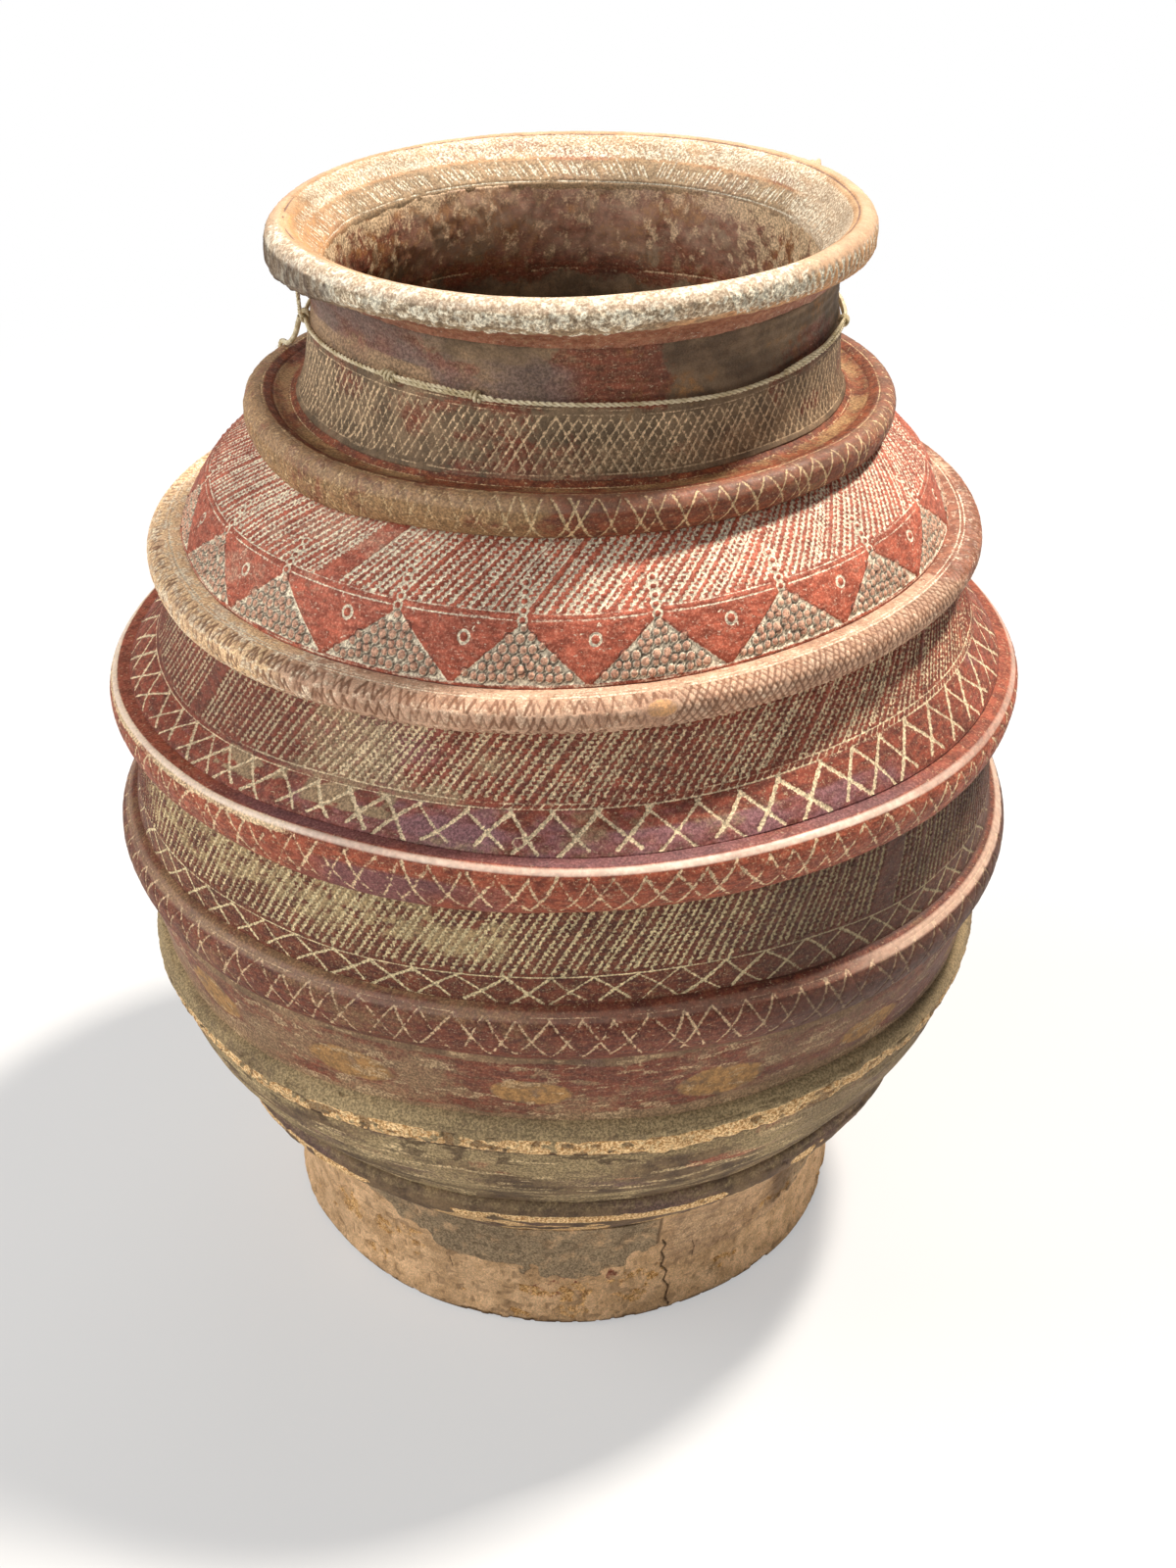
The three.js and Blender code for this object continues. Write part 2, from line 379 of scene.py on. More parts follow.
    def stamp(self, azimuth, s, radius, width, depth, boss=0.4, fill=1.0):
        """A ring pressed with a hollow reed: a round groove with its middle left standing."""
        reach = radius + width + 1.5
        half = math.degrees(reach / self.radius(s))
        rows, place, x = self._window(azimuth, half, s - reach, s + reach)
        if rows.stop <= rows.start:
            return
        away = np.hypot(x, (self.s[rows] - s)[:, None])
        ring = np.clip((width / 2 - np.abs(away - radius)) / LINE_EDGE + 0.5, 0, 1)
        middle = np.clip(radius - width * 0.4 - away + 0.5, 0, 1)
        self.cut[place] = np.maximum(self.cut[place] * (1 - middle), ring * depth)
        self.relief[place] += boss * middle * np.clip(1 - (away / radius) ** 2, 0, 1)
        self.masks["fill"][place] *= 1 - middle
        self._raise("fill", place, ring * fill)

    def line(self, s, width, depth, fill=1.0, soot=0.0, wander=0.4, gaps=0.0, only=1.0):
        """A line drawn right round; its soot is painted shade in the groove."""
        path = s + wander * (self.ring_noise(23) + 0.5 * self.ring_noise(71))
        rows = slice(
            int(np.searchsorted(self.s, s - width - 3 * wander - 1)),
            int(np.searchsorted(self.s, s + width + 3 * wander + 1)),
        )
        half_width = width / 2 * (1 + 0.2 * self.ring_noise(160) + 0.15 * self.ring_noise(500))
        core = np.clip((half_width - np.abs(self.s[rows, None] - path)) / LINE_EDGE + 0.5, 0, 1)
        keep = ease(-0.1, 0.1, 0.5 * self.ring_noise(45) + 0.5 * self.ring_noise(130) + 0.75 - 1.5 * gaps)
        core = core * keep * only
        self.cut[rows] = np.maximum(self.cut[rows], core * depth)
        self._raise("fill", rows, core * fill)
        self._raise("soot", rows, core * soot)

    def hatch(self, low, high, count, lean, width, depth, fill=1.0, skip=(), ragged=1.2):
        """Slanting strokes side by side, each leaning this far for its height, or as said by azimuth."""
        radius = self.radius((low + high) / 2)
        drift, tilt, press = self.ring_noise(37), self.ring_noise(29), self.ring_noise(83)
        for k in range(count):
            azimuth = 360 * k / count - 180
            j = int(k / count * self.columns)
            slope = (np.interp(azimuth, *lean) if isinstance(lean, tuple) else lean) + 0.07 * tilt[j]
            azimuth += 360 / count * (0.5 * drift[j] + self.off(0.05))
            s0 = low + self.some(-ragged, ragged)
            s1 = high + self.some(-ragged, ragged)
            run = math.degrees((slope + self.off(0.012)) * (s1 - s0) / radius)
            if any(a < azimuth + run / 2 < b for a, b in skip):
                continue
            strength = fill * (0.86 + 0.16 * press[j]) * self.some(0.85, 1)
            self.stroke(
                azimuth, s0, azimuth + run, s1, width * self.some(0.88, 1.12), depth, strength,
                bead=0.32, bow=0.6 * tilt[j] + self.off(0.2),
            )

    def scuff(self, low, high, amount=0.24, smear=0.0):
        """Breaks up the filling between two distances up the face, and smears some of it over the slip."""
        zone = self.zone(low, high, 1.5)
        self.bare("fill", amount * zone * ease(0.2, 0.6, self.cloud(2.8, 1.2, 2)))
        self.cover("fill", smear * zone * ease(0.45, 0.65, self.cloud(2.4, 1.6, 2)))

    def crosses(self, centres, low, high, width, depth, fill=1.0, crossing=0.6, stray=1.0):
        """Crosses side by side, each of two strokes drawn from the top that meet its neighbours' there."""
        centres = np.sort(np.asarray(centres, float))
        pitches = np.diff(np.append(centres, centres[0] + 360))
        degrees = math.degrees(1 / float(self.r.mean()))
        for i, centre in enumerate(centres):
            for side, pitch in ((1, pitches[i]), (-1, pitches[i - 1])):
                top = centre + side * pitch * 0.5
                reach = pitch * 0.5 / crossing
                drop = (high - low) * self.some(0.86, 1.04)
                self.stroke(
                    top + self.off(stray) * degrees, high + 0.6 * self.off(stray),
                    top - side * reach * drop / (high - low) + self.off(stray) * degrees, high - drop,
                    width * self.some(0.75, 1.2), depth, fill * self.some(0.75, 1),
                    bead=0.16, bow=0.8 * self.off(stray),
                )

    def pellet(self, azimuth, s, radius, height):
        """A raised grain of slipped clay, with the pale filling left round it and painted shade in a ring
        round its foot.
        """
        half = math.degrees((radius + 1) / self.radius(s))
        rows, place, x = self._window(azimuth, half, s - radius - 1, s + radius + 1)
        if rows.stop <= rows.start:
            return
        away = np.hypot(x, (self.s[rows] - s)[:, None]) / radius
        core = np.clip((0.85 - away) * 4, 0, 1)
        self.relief[place] += height * np.clip(1 - away**3, 0, 1)
        for name in ("fill", "soot"):
            self.masks[name][place] *= 1 - core
        self._raise("soot", place, 0.85 * np.clip(1.2 - np.abs(away - 1) * 4, 0, 1))
        self._raise("coat", place, self.some(0.75, 1.0) * core)


# face.slip(amount) and the like cover the face with that one mask, painted shade and light included
for mask in MASKS:
    setattr(Face, mask, partialmethod(Face.cover, mask))


def spaced(known, count):
    """Azimuths all round: the known ones in view, then even ones that close the circle."""
    rest = 360 - (known[-1] - known[0])
    extra = count - len(known)
    return list(known) + [known[-1] + rest * (i + 1) / (extra + 1) for i in range(extra)]


def columns_for(radius):
    return int(round(2 * math.pi * radius / FINE))


def wall_face(radius, low, high, seed, spacing=FINE):
    """A face between two heights of the wall."""
    return Face(between(low, high, spacing), columns_for(radius), seed)


def ridge_face(radius, points, seed, spacing=FINE):
    """A face through [radius, height] points, and how far along it each of them lies."""
    knots, path = run_through(points, spacing)
    return Face(path, columns_for(radius), seed), knots


def lining(low, high, extra=()):
    """A course's inner side from its upper seam to its lower one, with both ends close under its face."""
    inside = [in_wall(station, WALL_THICKNESS) for station in range(low, high + 1)]
    inside = sorted([*inside, *extra], key=lambda point: -point[1])
    return [in_wall(high, 1), *inside, in_wall(low, 1)]


def finished(name, mesh, material, node):
    """The piece that shows a mesh in place of a node's solid."""
    mesh.shade_smooth()
    mesh.materials.append(material)
    piece = bpy.data.objects.new(name, mesh)
    bpy.context.scene.collection.objects.link(piece)
    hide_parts(node)
    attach(piece, "root")
    return piece


def grow(node, parts, ware, plain=INSIDE, name=None):
    """One closed piece from faces and plain rows, anticlockwise round its section, the axis on the left."""
    columns = next(part.columns for part in parts if isinstance(part, Face))
    radii, heights, distances = [], [], []
    masks = {key: [] for key in MASKS}
    for part in parts:
        if isinstance(part, Face):
            shift = part.relief - part.cut
            radii.append(part.r[:, None] + part.n[:, :1] * shift)
            heights.append(part.z[:, None] + part.n[:, 1:] * shift)
            distances.append(part.path)
            for key in MASKS:
                masks[key].append(part.masks[key])
        else:
            rows = np.asarray(part, float)
            radii.append(np.repeat(rows[:, :1], columns, 1))
            heights.append(np.repeat(rows[:, 1:], columns, 1))
            distances.append(rows)
            for key in MASKS:
                masks[key].append(np.full((len(rows), columns), plain.get(key, 0.0)))
    radius, height = np.vstack(radii), np.vstack(heights)
    section = np.vstack(distances)
    poles = section[0, 0] == 0
    theta = (np.arange(columns) / columns - 0.5) * 2 * math.pi
    x, y, z = settle(radius * np.sin(theta), -radius * np.cos(theta), height)
    points = np.stack([x, y, z], -1).reshape(-1, 3) * MM
    rows = len(section)
    bands = rows - 1 if poles else rows
    i, j = np.meshgrid(np.arange(bands), np.arange(columns), indexing="ij")
    up, next_j = (i + 1) % rows, (j + 1) % columns
    quads = np.stack(
        [i * columns + j, i * columns + next_j, up * columns + next_j, up * columns + j], -1
    ).reshape(-1, 4)
    run = run_along(section)
    closing = 0 if poles else float(np.hypot(*(section[0] - section[-1])))
    v = np.append(run, run[-1] + closing) / (run[-1] + closing)
    v_up = v[i + 1]
    uv = np.stack(
        [
            np.stack([j, v[i] * columns], -1), np.stack([j + 1, v[i] * columns], -1),
            np.stack([j + 1, v_up * columns], -1), np.stack([j, v_up * columns], -1),
        ],
        2,
    ).reshape(-1, 2) / columns
    name = name or node + "_worked"
    mesh = bpy.data.meshes.new(name)
    mesh.vertices.add(len(points))
    mesh.vertices.foreach_set("co", points.astype(np.float32).ravel())
    mesh.loops.add(quads.size)
    mesh.loops.foreach_set("vertex_index", quads.astype(np.int32).ravel())
    mesh.polygons.add(len(quads))
    mesh.polygons.foreach_set("loop_start", (np.arange(len(quads)) * 4).astype(np.int32))
    mesh.update(calc_edges=True)
    mesh.uv_layers.new(name="OFBake").uv.foreach_set("vector", uv.astype(np.float32).ravel())
    for key in MASKS:
        attribute = mesh.attributes.new(key, "FLOAT", "POINT")
        attribute.data.foreach_set("value", np.vstack(masks[key]).astype(np.float32).ravel())
    finished(name, mesh, wares[ware], node)


class Nodes:
    """A material's node tree, written as sums."""

    def __init__(self, name):
        self.material = bpy.data.materials.new(name)
        self.material.use_nodes = True
        self.tree = self.material.node_tree
        self.tree.nodes.clear()
        self.place = self.add("ShaderNodeTexCoord").outputs["Object"]

    def add(self, kind, **settings):
        node = self.tree.nodes.new(kind)
        for key, value in settings.items():
            setattr(node, key, value)
        return node

    def put(self, socket, value):
        if isinstance(value, bpy.types.NodeSocket):
            self.tree.links.new(value, socket)
        else:
            socket.default_value = value

    def fill_in(self, node, **values):
        """Puts values into a node's inputs, each named with _ for a space."""
        for name, value in values.items():
            self.put(node.inputs[name.replace("_", " ")], value)

    def times(self, a, b):
        return self.math("MULTIPLY", a, b)

    def math(self, operation, a, b=0.0, c=0.0, clamp=False):
        node = self.add("ShaderNodeMath", operation=operation, use_clamp=clamp)
        for socket, value in zip(node.inputs, (a, b, c)):
            self.put(socket, value)
        return node.outputs[0]

    def ramp(self, x, low, high, to_low=0.0, to_high=1.0):
        node = self.add("ShaderNodeMapRange", interpolation_type="SMOOTHSTEP")
        for socket, value in zip(node.inputs, (x, low, high, to_low, to_high)):
            self.put(socket, value)
        return node.outputs[0]

    def mask(self, name):
        return self.add("ShaderNodeAttribute", attribute_name=name).outputs["Fac"]

    def noise(self, size, detail=3.0, roughness=0.55, squash=None, distortion=0.0):
        """Noise with features about this size in mm. Squash makes them flatter than wide."""
        place = self.place
        if squash:
            node = self.add("ShaderNodeMapping")
            self.fill_in(node, Vector=place, Scale=(1, 1, squash))
            place = node.outputs[0]
        node = self.add("ShaderNodeTexNoise")
        self.fill_in(node, Vector=place, Scale=1000 / size, Detail=detail)
        self.fill_in(node, Roughness=roughness, Distortion=distortion)
        return node.outputs["Fac"]

    def mix(self, amount, a, b, blend="MIX"):
        node = self.add("ShaderNodeMix", data_type="RGBA", blend_type=blend)
        self.put(node.inputs[0], amount)
        self.put(node.inputs[6], a)
        self.put(node.inputs[7], b)
        return node.outputs[2]

    def broken(self, name, noise, amount=0.5, soft=0.14, middle=0.5):
        """A mask whose edge is broken up by a noise."""
        shaken = self.math("MULTIPLY_ADD", noise, amount, self.mask(name))
        shaken = self.math("SUBTRACT", shaken, amount / 2)
        return self.ramp(shaken, middle - soft, middle + soft)

    def finish(self, colour, roughness, height, distance, coat=0.0):
        bump = self.add("ShaderNodeBump")
        self.fill_in(bump, Strength=0.9, Distance=distance, Height=height)
        shader = self.add("ShaderNodeBsdfPrincipled")
        self.fill_in(shader, Base_Color=colour, Roughness=roughness, Specular_IOR_Level=0.4)
        self.fill_in(shader, Coat_Weight=coat, Coat_Roughness=0.35, Normal=bump.outputs[0])
        self.fill_in(self.add("ShaderNodeOutputMaterial"), Surface=shader.outputs[0])
        return self.material


def earthenware(
    name, clay="#94765A", clay_dark="#6E5541", slip="#A65A41", slip_dark="#7E4030", dust="#A08763",
    cream="#D8C09A", bloom="#6E5450",
    grit=0.5, rough=0.8, highlight_tint="#F0CDB4", ochre="#9C7644", shadow="#3F2A20",
    worn_dark="#B07A42", worn_pale="#E6BC80",
):
    """Fired clay under slip, pale filling, dust, bloom, wear and soot, each where its mask says; the soot,
    bloom and gloss masks also carry painted shade, painted light and painted highlights.
    """
    n = Nodes(name)
    broad = n.noise(60, 4, 0.6)
    patch = n.noise(17, 4, 0.6)
    small = n.noise(4.5, 4, 0.6)
    fine = n.noise(1.6, 3, 0.6)
    grain = n.noise(0.7, 2, 0.7)
    streak = n.noise(9, 4, 0.6, squash=3.5)
    body = n.mix(n.ramp(patch, 0.35, 0.65), tone(clay_dark), tone(clay))
    body = n.mix(n.ramp(small, 0.56, 0.72, 0, 0.45), body, tone(clay, 1.25))
    body = n.mix(n.ramp(fine, 0.6, 0.75, 0, 0.4), body, tone(clay_dark, 0.6))
    red = n.mix(n.ramp(streak, 0.35, 0.68), tone(slip_dark), tone(slip))
    red = n.mix(n.ramp(patch, 0.5, 0.72, 0, 0.5), red, tone(slip, 1.3))
    red = n.mix(n.ramp(small, 0.48, 0.7, 0, 0.6), red, tone(slip_dark, 0.65))
    red = n.mix(n.ramp(fine, 0.5, 0.66, 0, 0.3), red, tone(dust))
    red = n.mix(n.ramp(n.noise(2.6, 3, 0.6, squash=2.0), 0.62, 0.68, 0, 0.7), red, tone(cream, 0.8))
    slipped = n.broken("slip", small, 0.7, 0.1)
    colour = n.mix(slipped, body, red)
    yellow = n.mix(n.ramp(small, 0.4, 0.6), tone(ochre, 0.75), tone(ochre, 1.2))
    colour = n.mix(n.broken("ochre", small, 0.7, 0.22), colour, yellow)
    # Bloom, which on some pieces is painted shade and on the pale ware painted light
    purple = n.mix(n.ramp(fine, 0.35, 0.65), tone(bloom, 0.8), tone(bloom, 1.3))
    colour = n.mix(n.times(n.broken("bloom", streak, 0.7, 0.3), 0.8), colour, purple)
    dusty = n.mix(n.ramp(fine, 0.35, 0.65), tone(dust, 0.75), tone(dust, 1.25))
    colour = n.mix(n.times(n.broken("coat", small, 0.8, 0.25), 0.9), colour, dusty)
    worn = n.mix(n.ramp(fine, 0.35, 0.65), tone(worn_dark), tone(worn_pale))
    colour = n.mix(n.broken("worn", small, 0.6, 0.14), colour, worn)
    pale = n.mix(n.ramp(fine, 0.3, 0.7), tone(cream, 0.62), tone(cream, 1.25))
    filled = n.broken("fill", fine, 0.55, 0.2, 0.48)
    colour = n.mix(filled, colour, pale)
    # Soot and painted shade, towards the shadow colour
    colour = n.mix(n.times(n.broken("soot", fine, 0.3, 0.3), 0.85), colour, tone(shadow))
    shade = n.ramp(broad, 0.3, 0.7, 0.86, 1.1)
    shade = n.times(shade, n.ramp(grain, 0.3, 0.7, 0.8, 1.16))
    shade = n.times(shade, n.ramp(fine, 0.34, 0.66, 0.82, 1.18))
    gray = n.add("ShaderNodeCombineColor")
    n.fill_in(gray, Red=shade, Green=shade, Blue=shade)
    colour = n.mix(1.0, colour, gray.outputs[0], "MULTIPLY")
    # Painted highlight: glossy places are lightened towards a pale tint, besides being smoother and coated
    gloss = n.mask("gloss")
    painted_highlight = n.times(gloss, n.ramp(small, 0.3, 0.62, 1.0, 0.7))
    colour = n.mix(n.times(painted_highlight, 0.95), colour, tone(highlight_tint))
    roughness = n.math(
        "SUBTRACT", n.ramp(small, 0.3, 0.7, rough - 0.08, rough + 0.08), n.times(slipped, 0.14),
    )
    roughness = n.math("ADD", roughness, n.times(filled, 0.15))
    roughness = n.math("SUBTRACT", roughness, n.times(gloss, 0.32), clamp=True)
    height = n.math("MULTIPLY_ADD", small, 0.6, n.math("MULTIPLY_ADD", fine, 0.5, n.times(grain, 0.35)))
    return n.finish(colour, roughness, height, 0.0006 * grit, n.times(gloss, 0.3))


def place_on_ring(azimuth, radius, height):
    angle = np.radians(azimuth)
    x, y, z = settle(radius * np.sin(angle), -radius * np.cos(angle), np.asarray(height, float))
    return np.stack([x, y, z], -1)


# Camera, as the photograph was taken
yaw, pitch, roll = math.radians(0.72), math.radians(31.19), math.radians(-0.13)
forward = Vector(
    (math.sin(yaw) * math.cos(pitch), math.cos(yaw) * math.cos(pitch), -math.sin(pitch))
)
level = Vector((math.cos(yaw), -math.sin(yaw), 0))
above = level.cross(forward)
across = math.cos(roll) * level + math.sin(roll) * above
above = -math.sin(roll) * level + math.cos(roll) * above
camera_data = bpy.data.cameras.new("camera")
camera_data.sensor_fit = "AUTO"
camera_data.sensor_width = 36
camera_data.lens = 49.5
camera_data.clip_end = 60
camera = bpy.data.objects.new("camera", camera_data)
turn = Matrix((across, above, -forward)).transposed().to_4x4()
camera.matrix_world = Matrix.Translation((0, -1.350, 1.1502)) @ turn
bpy.context.scene.collection.objects.link(camera)
bpy.context.scene.camera = camera


def twine_material():
    n = Nodes("twine_fibre")
    strand = n.noise(1.1, 4, 0.7, distortion=0.6)
    patch = n.noise(14, 3, 0.6)
    colour = n.mix(n.ramp(patch, 0.35, 0.65), tone("#BFAE88"), tone("#E6DABB"))
    colour = n.mix(n.ramp(strand, 0.55, 0.75, 0, 0.5), colour, tone("#85704E"))
    colour = n.mix(n.ramp(n.noise(3.2, 2), 0.58, 0.75, 0, 0.5), colour, tone("#EDE4CC"))
    return n.finish(colour, 0.92, strand, 0.0004)


def unit(rows):
    return rows / np.linalg.norm(rows, axis=1)[:, None]


def tangents(path, closed):
    return unit(np.roll(path, -1, 0) - np.roll(path, 1, 0) if closed else np.gradient(path, axis=0))


def tube(path, radius, sides=10, closed=False, taper=0.0):
    """(points, faces) of a tube along a path in mm, with rounded ends when it is open."""
    path = np.asarray(path, float)
    along = tangents(path, closed)
    side = np.cross(along, [0, 0, 1.0])
    weak = np.linalg.norm(side, axis=1) < 0.2
    side[weak] = np.cross(along[weak], [0, 1.0, 0])
    for i in range(1, len(side)):
        side[i] -= along[i] * side[i].dot(along[i])
        if side[i].dot(side[i - 1]) < 0:
            side[i] = -side[i]
    side = unit(side)
    other = np.cross(along, side)
    size = np.full(len(path), radius, float)
    if taper:
        size *= np.linspace(1, 1 - taper, len(path))
    if not closed:
        size[[0, -1]] *= 0.55
    turn = np.linspace(0, 2 * math.pi, sides, endpoint=False)
    ring = (
        np.cos(turn)[None, :, None] * side[:, None] + np.sin(turn)[None, :, None] * other[:, None]
    ) * size[:, None, None]
    points = (path[:, None] + ring).reshape(-1, 3)
    faces = []
    count = len(path)
    for i in range(count if closed else count - 1):
        k = (i + 1) % count
        for j in range(sides):
            m = (j + 1) % sides
            faces.append((i * sides + j, i * sides + m, k * sides + m, k * sides + j))
    if not closed:
        faces.append(tuple(range(sides)))
        faces.append(tuple(reversed(range((count - 1) * sides, count * sides))))
    return points, faces


def resample(path, spacing, closed=False):
    path = np.asarray(path, float)
    if closed:
        path = np.vstack([path, path[:1]])
    run = np.concatenate([[0], np.cumsum(np.linalg.norm(np.diff(path, axis=0), axis=1))])
    count = max(4, round(run[-1] / spacing))
    even = np.linspace(0, run[-1], count + (1 if closed else 0))
    out = np.stack([np.interp(even, run, path[:, i]) for i in range(3)], 1)
    return out[:-1] if closed else out


def curve_3d(points, spacing):
    """Smooth path through points in space, evenly sampled."""
    p = np.asarray(points, float)
    ends = np.vstack([2 * p[0] - p[1], p, 2 * p[-1] - p[-2]])
    out = []
    for a, b, c, d in zip(ends, ends[1:], ends[2:], ends[3:]):
        t = np.linspace(0, 1, 16, endpoint=False)[:, None]
        out.append(
            0.5 * (2 * b + (c - a) * t + (2 * a - 5 * b + 4 * c - d) * t**2 + (3 * b - a - 3 * c + d) * t**3)
        )
    return resample(np.vstack([*out, p[-1:]]), spacing)


def twisted(path, diameter, lay, seed, closed=False):
    """Two plies of twine laid round each other along a path, as a list of tubes."""
    rng = np.random.default_rng(seed)
    spacing = 0.7
    path = resample(path, spacing, closed)
    along = tangents(path, closed)
    side = np.cross(along, [0, 0, 1.0])
    weak = np.linalg.norm(side, axis=1) < 0.3
    side[weak] = np.cross(along[weak], [1.0, 0, 0])
    for i in range(1, len(side)):
        if side[i].dot(side[i - 1]) < 0:
            side[i] = -side[i]
    side = unit(side)
    other = np.cross(along, side)
    turns = max(1, round(spacing * len(path) / lay))
    phase = np.linspace(0, 2 * math.pi * turns, len(path), endpoint=not closed)
    phase = phase + 0.35 * np.sin(np.linspace(0, 2 * math.pi * max(1, turns // 5), len(path)))
    tubes = []
    for ply in range(PLIES):
        angle = phase + 2 * math.pi * ply / PLIES
        strand = (
            path
            + PLY_OFFSET * diameter * (np.cos(angle)[:, None] * side + np.sin(angle)[:, None] * other)
        )
        strand = strand + rng.normal(0, 0.035, strand.shape)
        tubes.append(tube(strand, PLY_RADIUS * diameter, 8, closed))
    return tubes


def fuzz(path, diameter, count, seed):
    """Loose fibres that stand off the twine."""
    rng = np.random.default_rng(seed)
    path = np.asarray(path, float)
    tubes = []
    for _ in range(count):
        i = rng.integers(2, len(path) - 3)
        along = path[i + 1] - path[i - 1]
        along /= np.linalg.norm(along)
        out = path[i] * [1, 1, 0]
        out = out / np.linalg.norm(out) + rng.normal(0, 0.5, 3)
        out -= along * out.dot(along)
        out /= np.linalg.norm(out)
        base = path[i] + out * diameter * 0.35
        reach = rng.uniform(1.6, 4.5)
        middle = base + along * reach * 0.5 + out * reach * 0.25
        tip = base + along * reach * rng.uniform(0.6, 1.1) + out * reach * rng.uniform(0.3, 0.6)
        tubes.append(tube(curve_3d([base, middle, tip], 0.6), 0.09, 4, taper=0.6))
    return tubes


def bundle(name, tubes, node):
    """One piece from several tubes, given in mm."""
    points, faces, base = [], [], 0
    for tube_points, tube_faces in tubes:
        points.append(tube_points)
        faces.extend(tuple(i + base for i in face) for face in tube_faces)
        base += len(tube_points)
    mesh = bpy.data.meshes.new(name)
    mesh.from_pydata((np.vstack(points) * MM).tolist(), [], faces)
    return finished(name, mesh, twine_fibre, node)


# The twine comes first, because its tail is a free cord
twine_fibre = twine_material()


def make_tail():
    """Loose end of the twine: one tube whose section has a lobe for each ply, turned along its length."""
    path = curve_3d([place_on_ring(*point) for point in TAIL], 0.8)
    sides, lay = 20, 7.5
    points, faces = tube(path, TWINE_DIAMETER / 2, sides)
    rings = points.reshape(-1, sides, 3) - path[:, None]
    turn = np.linspace(0, 2 * math.pi, sides, endpoint=False)[None, :]
    ply = 2 * math.pi * np.arange(len(path))[:, None] * 0.8 / lay
    rings *= (0.98 + 0.15 * np.cos(2 * (turn - ply)))[..., None]
    rings[[0, -1]] *= 1.6
    points = (rings + path[:, None]).reshape(-1, 3)
    piece = bundle("twine_tail_laid", [(points, faces)], "twine_tail")
    end = path[-1]
    out = (end - path[-4]) / np.linalg.norm(end - path[-4])
    rng = np.random.default_rng(6)
    loose = fuzz(path, TWINE_DIAMETER, 30, 5)
    for _ in range(9):
        way = out + rng.normal(0, 0.3, 3)
        way /= np.linalg.norm(way)
        reach = rng.uniform(3, 6)
        bend = end + way * reach * 0.5 + rng.normal(0, 0.3, 3)
        loose.append(tube(curve_3d([end - out, bend, end + way * reach], 0.8), 0.2, 5, taper=0.7))
    fray = bundle("twine_tail_frayed", loose, "twine_tail")


def make_ring():
    azimuth = np.linspace(-180, 180, 361)[:-1]
    wander = 0.5 * np.sin(np.radians(azimuth) * 3 + 1) + 0.3 * np.sin(np.radians(azimuth) * 7)
    ring = place_on_ring(azimuth, TWINE_RADIUS, TWINE_HEIGHT + wander)
    tubes = twisted(ring, TWINE_DIAMETER * 0.92, 8.5, 9, closed=True)
    tubes += fuzz(resample(ring, 1.0, True), TWINE_DIAMETER, 170, 10)
    # The end that overlaps the round, from the knot to where it is tucked under
    lap = np.linspace(-42, -16, 22)
    rise = 2.7 * np.sin(np.linspace(0.25, math.pi - 0.2, 22)) ** 0.5
    tubes += twisted(
        place_on_ring(lap, TWINE_RADIUS + 0.9 + 0.5 * np.sin(lap), TWINE_HEIGHT + rise), 2.5, 7, 12
    )
    # Second round on the right, wound loosely above the first
    second = np.linspace(46, 104, 40)
    lift = 3.0 * np.sin(np.linspace(0.1, math.pi - 0.1, 40)) ** 0.4
    tubes += twisted(
        place_on_ring(second, TWINE_RADIUS + 0.5 + 0.3 * np.sin(second / 3), TWINE_HEIGHT + lift),
        TWINE_DIAMETER * 0.8, 8, 13,
    )
    # Knots: a few turns of the same twine round the round
    for centre, turns, spread in ((-39.5, 3, 1.4), (-19.5, 2, 1.2), (80.0, 3, 1.3), (-84.0, 3, 1.7)):
        t = np.linspace(0, 1, 26 * turns)
        angle = 2 * math.pi * turns * t
        reach = 2.5
        tubes.append(
            tube(
                place_on_ring(
                    centre + (t - 0.5) * turns * 0.7 * spread,
                    TWINE_RADIUS + 0.5 + reach * np.cos(angle),
                    TWINE_HEIGHT + 0.9 + reach * 1.1 * np.sin(angle),
                ),
                1.0, 8,
            )
        )
    # The small loop above the knot that the tail leaves from
    loop = [
        (-83.5, 174.6, 693), (-80.5, 176.4, 697.5), (-78.6, 176.8, 703.5), (-79.2, 176.6, 709),
        (-82, 176.4, 710.5), (-84.4, 176.4, 706.5), (-85.6, 176.6, 699), (-86.4, 176.6, 693.5),
        (-86.7, 176.9, 690.6),
    ]
    tubes += twisted(curve_3d([place_on_ring(*point) for point in loop], 1.2), 2.6, 6.5, 15)
    bundle("neck_twine_wound", tubes, "neck_twine")


make_tail()
make_ring()
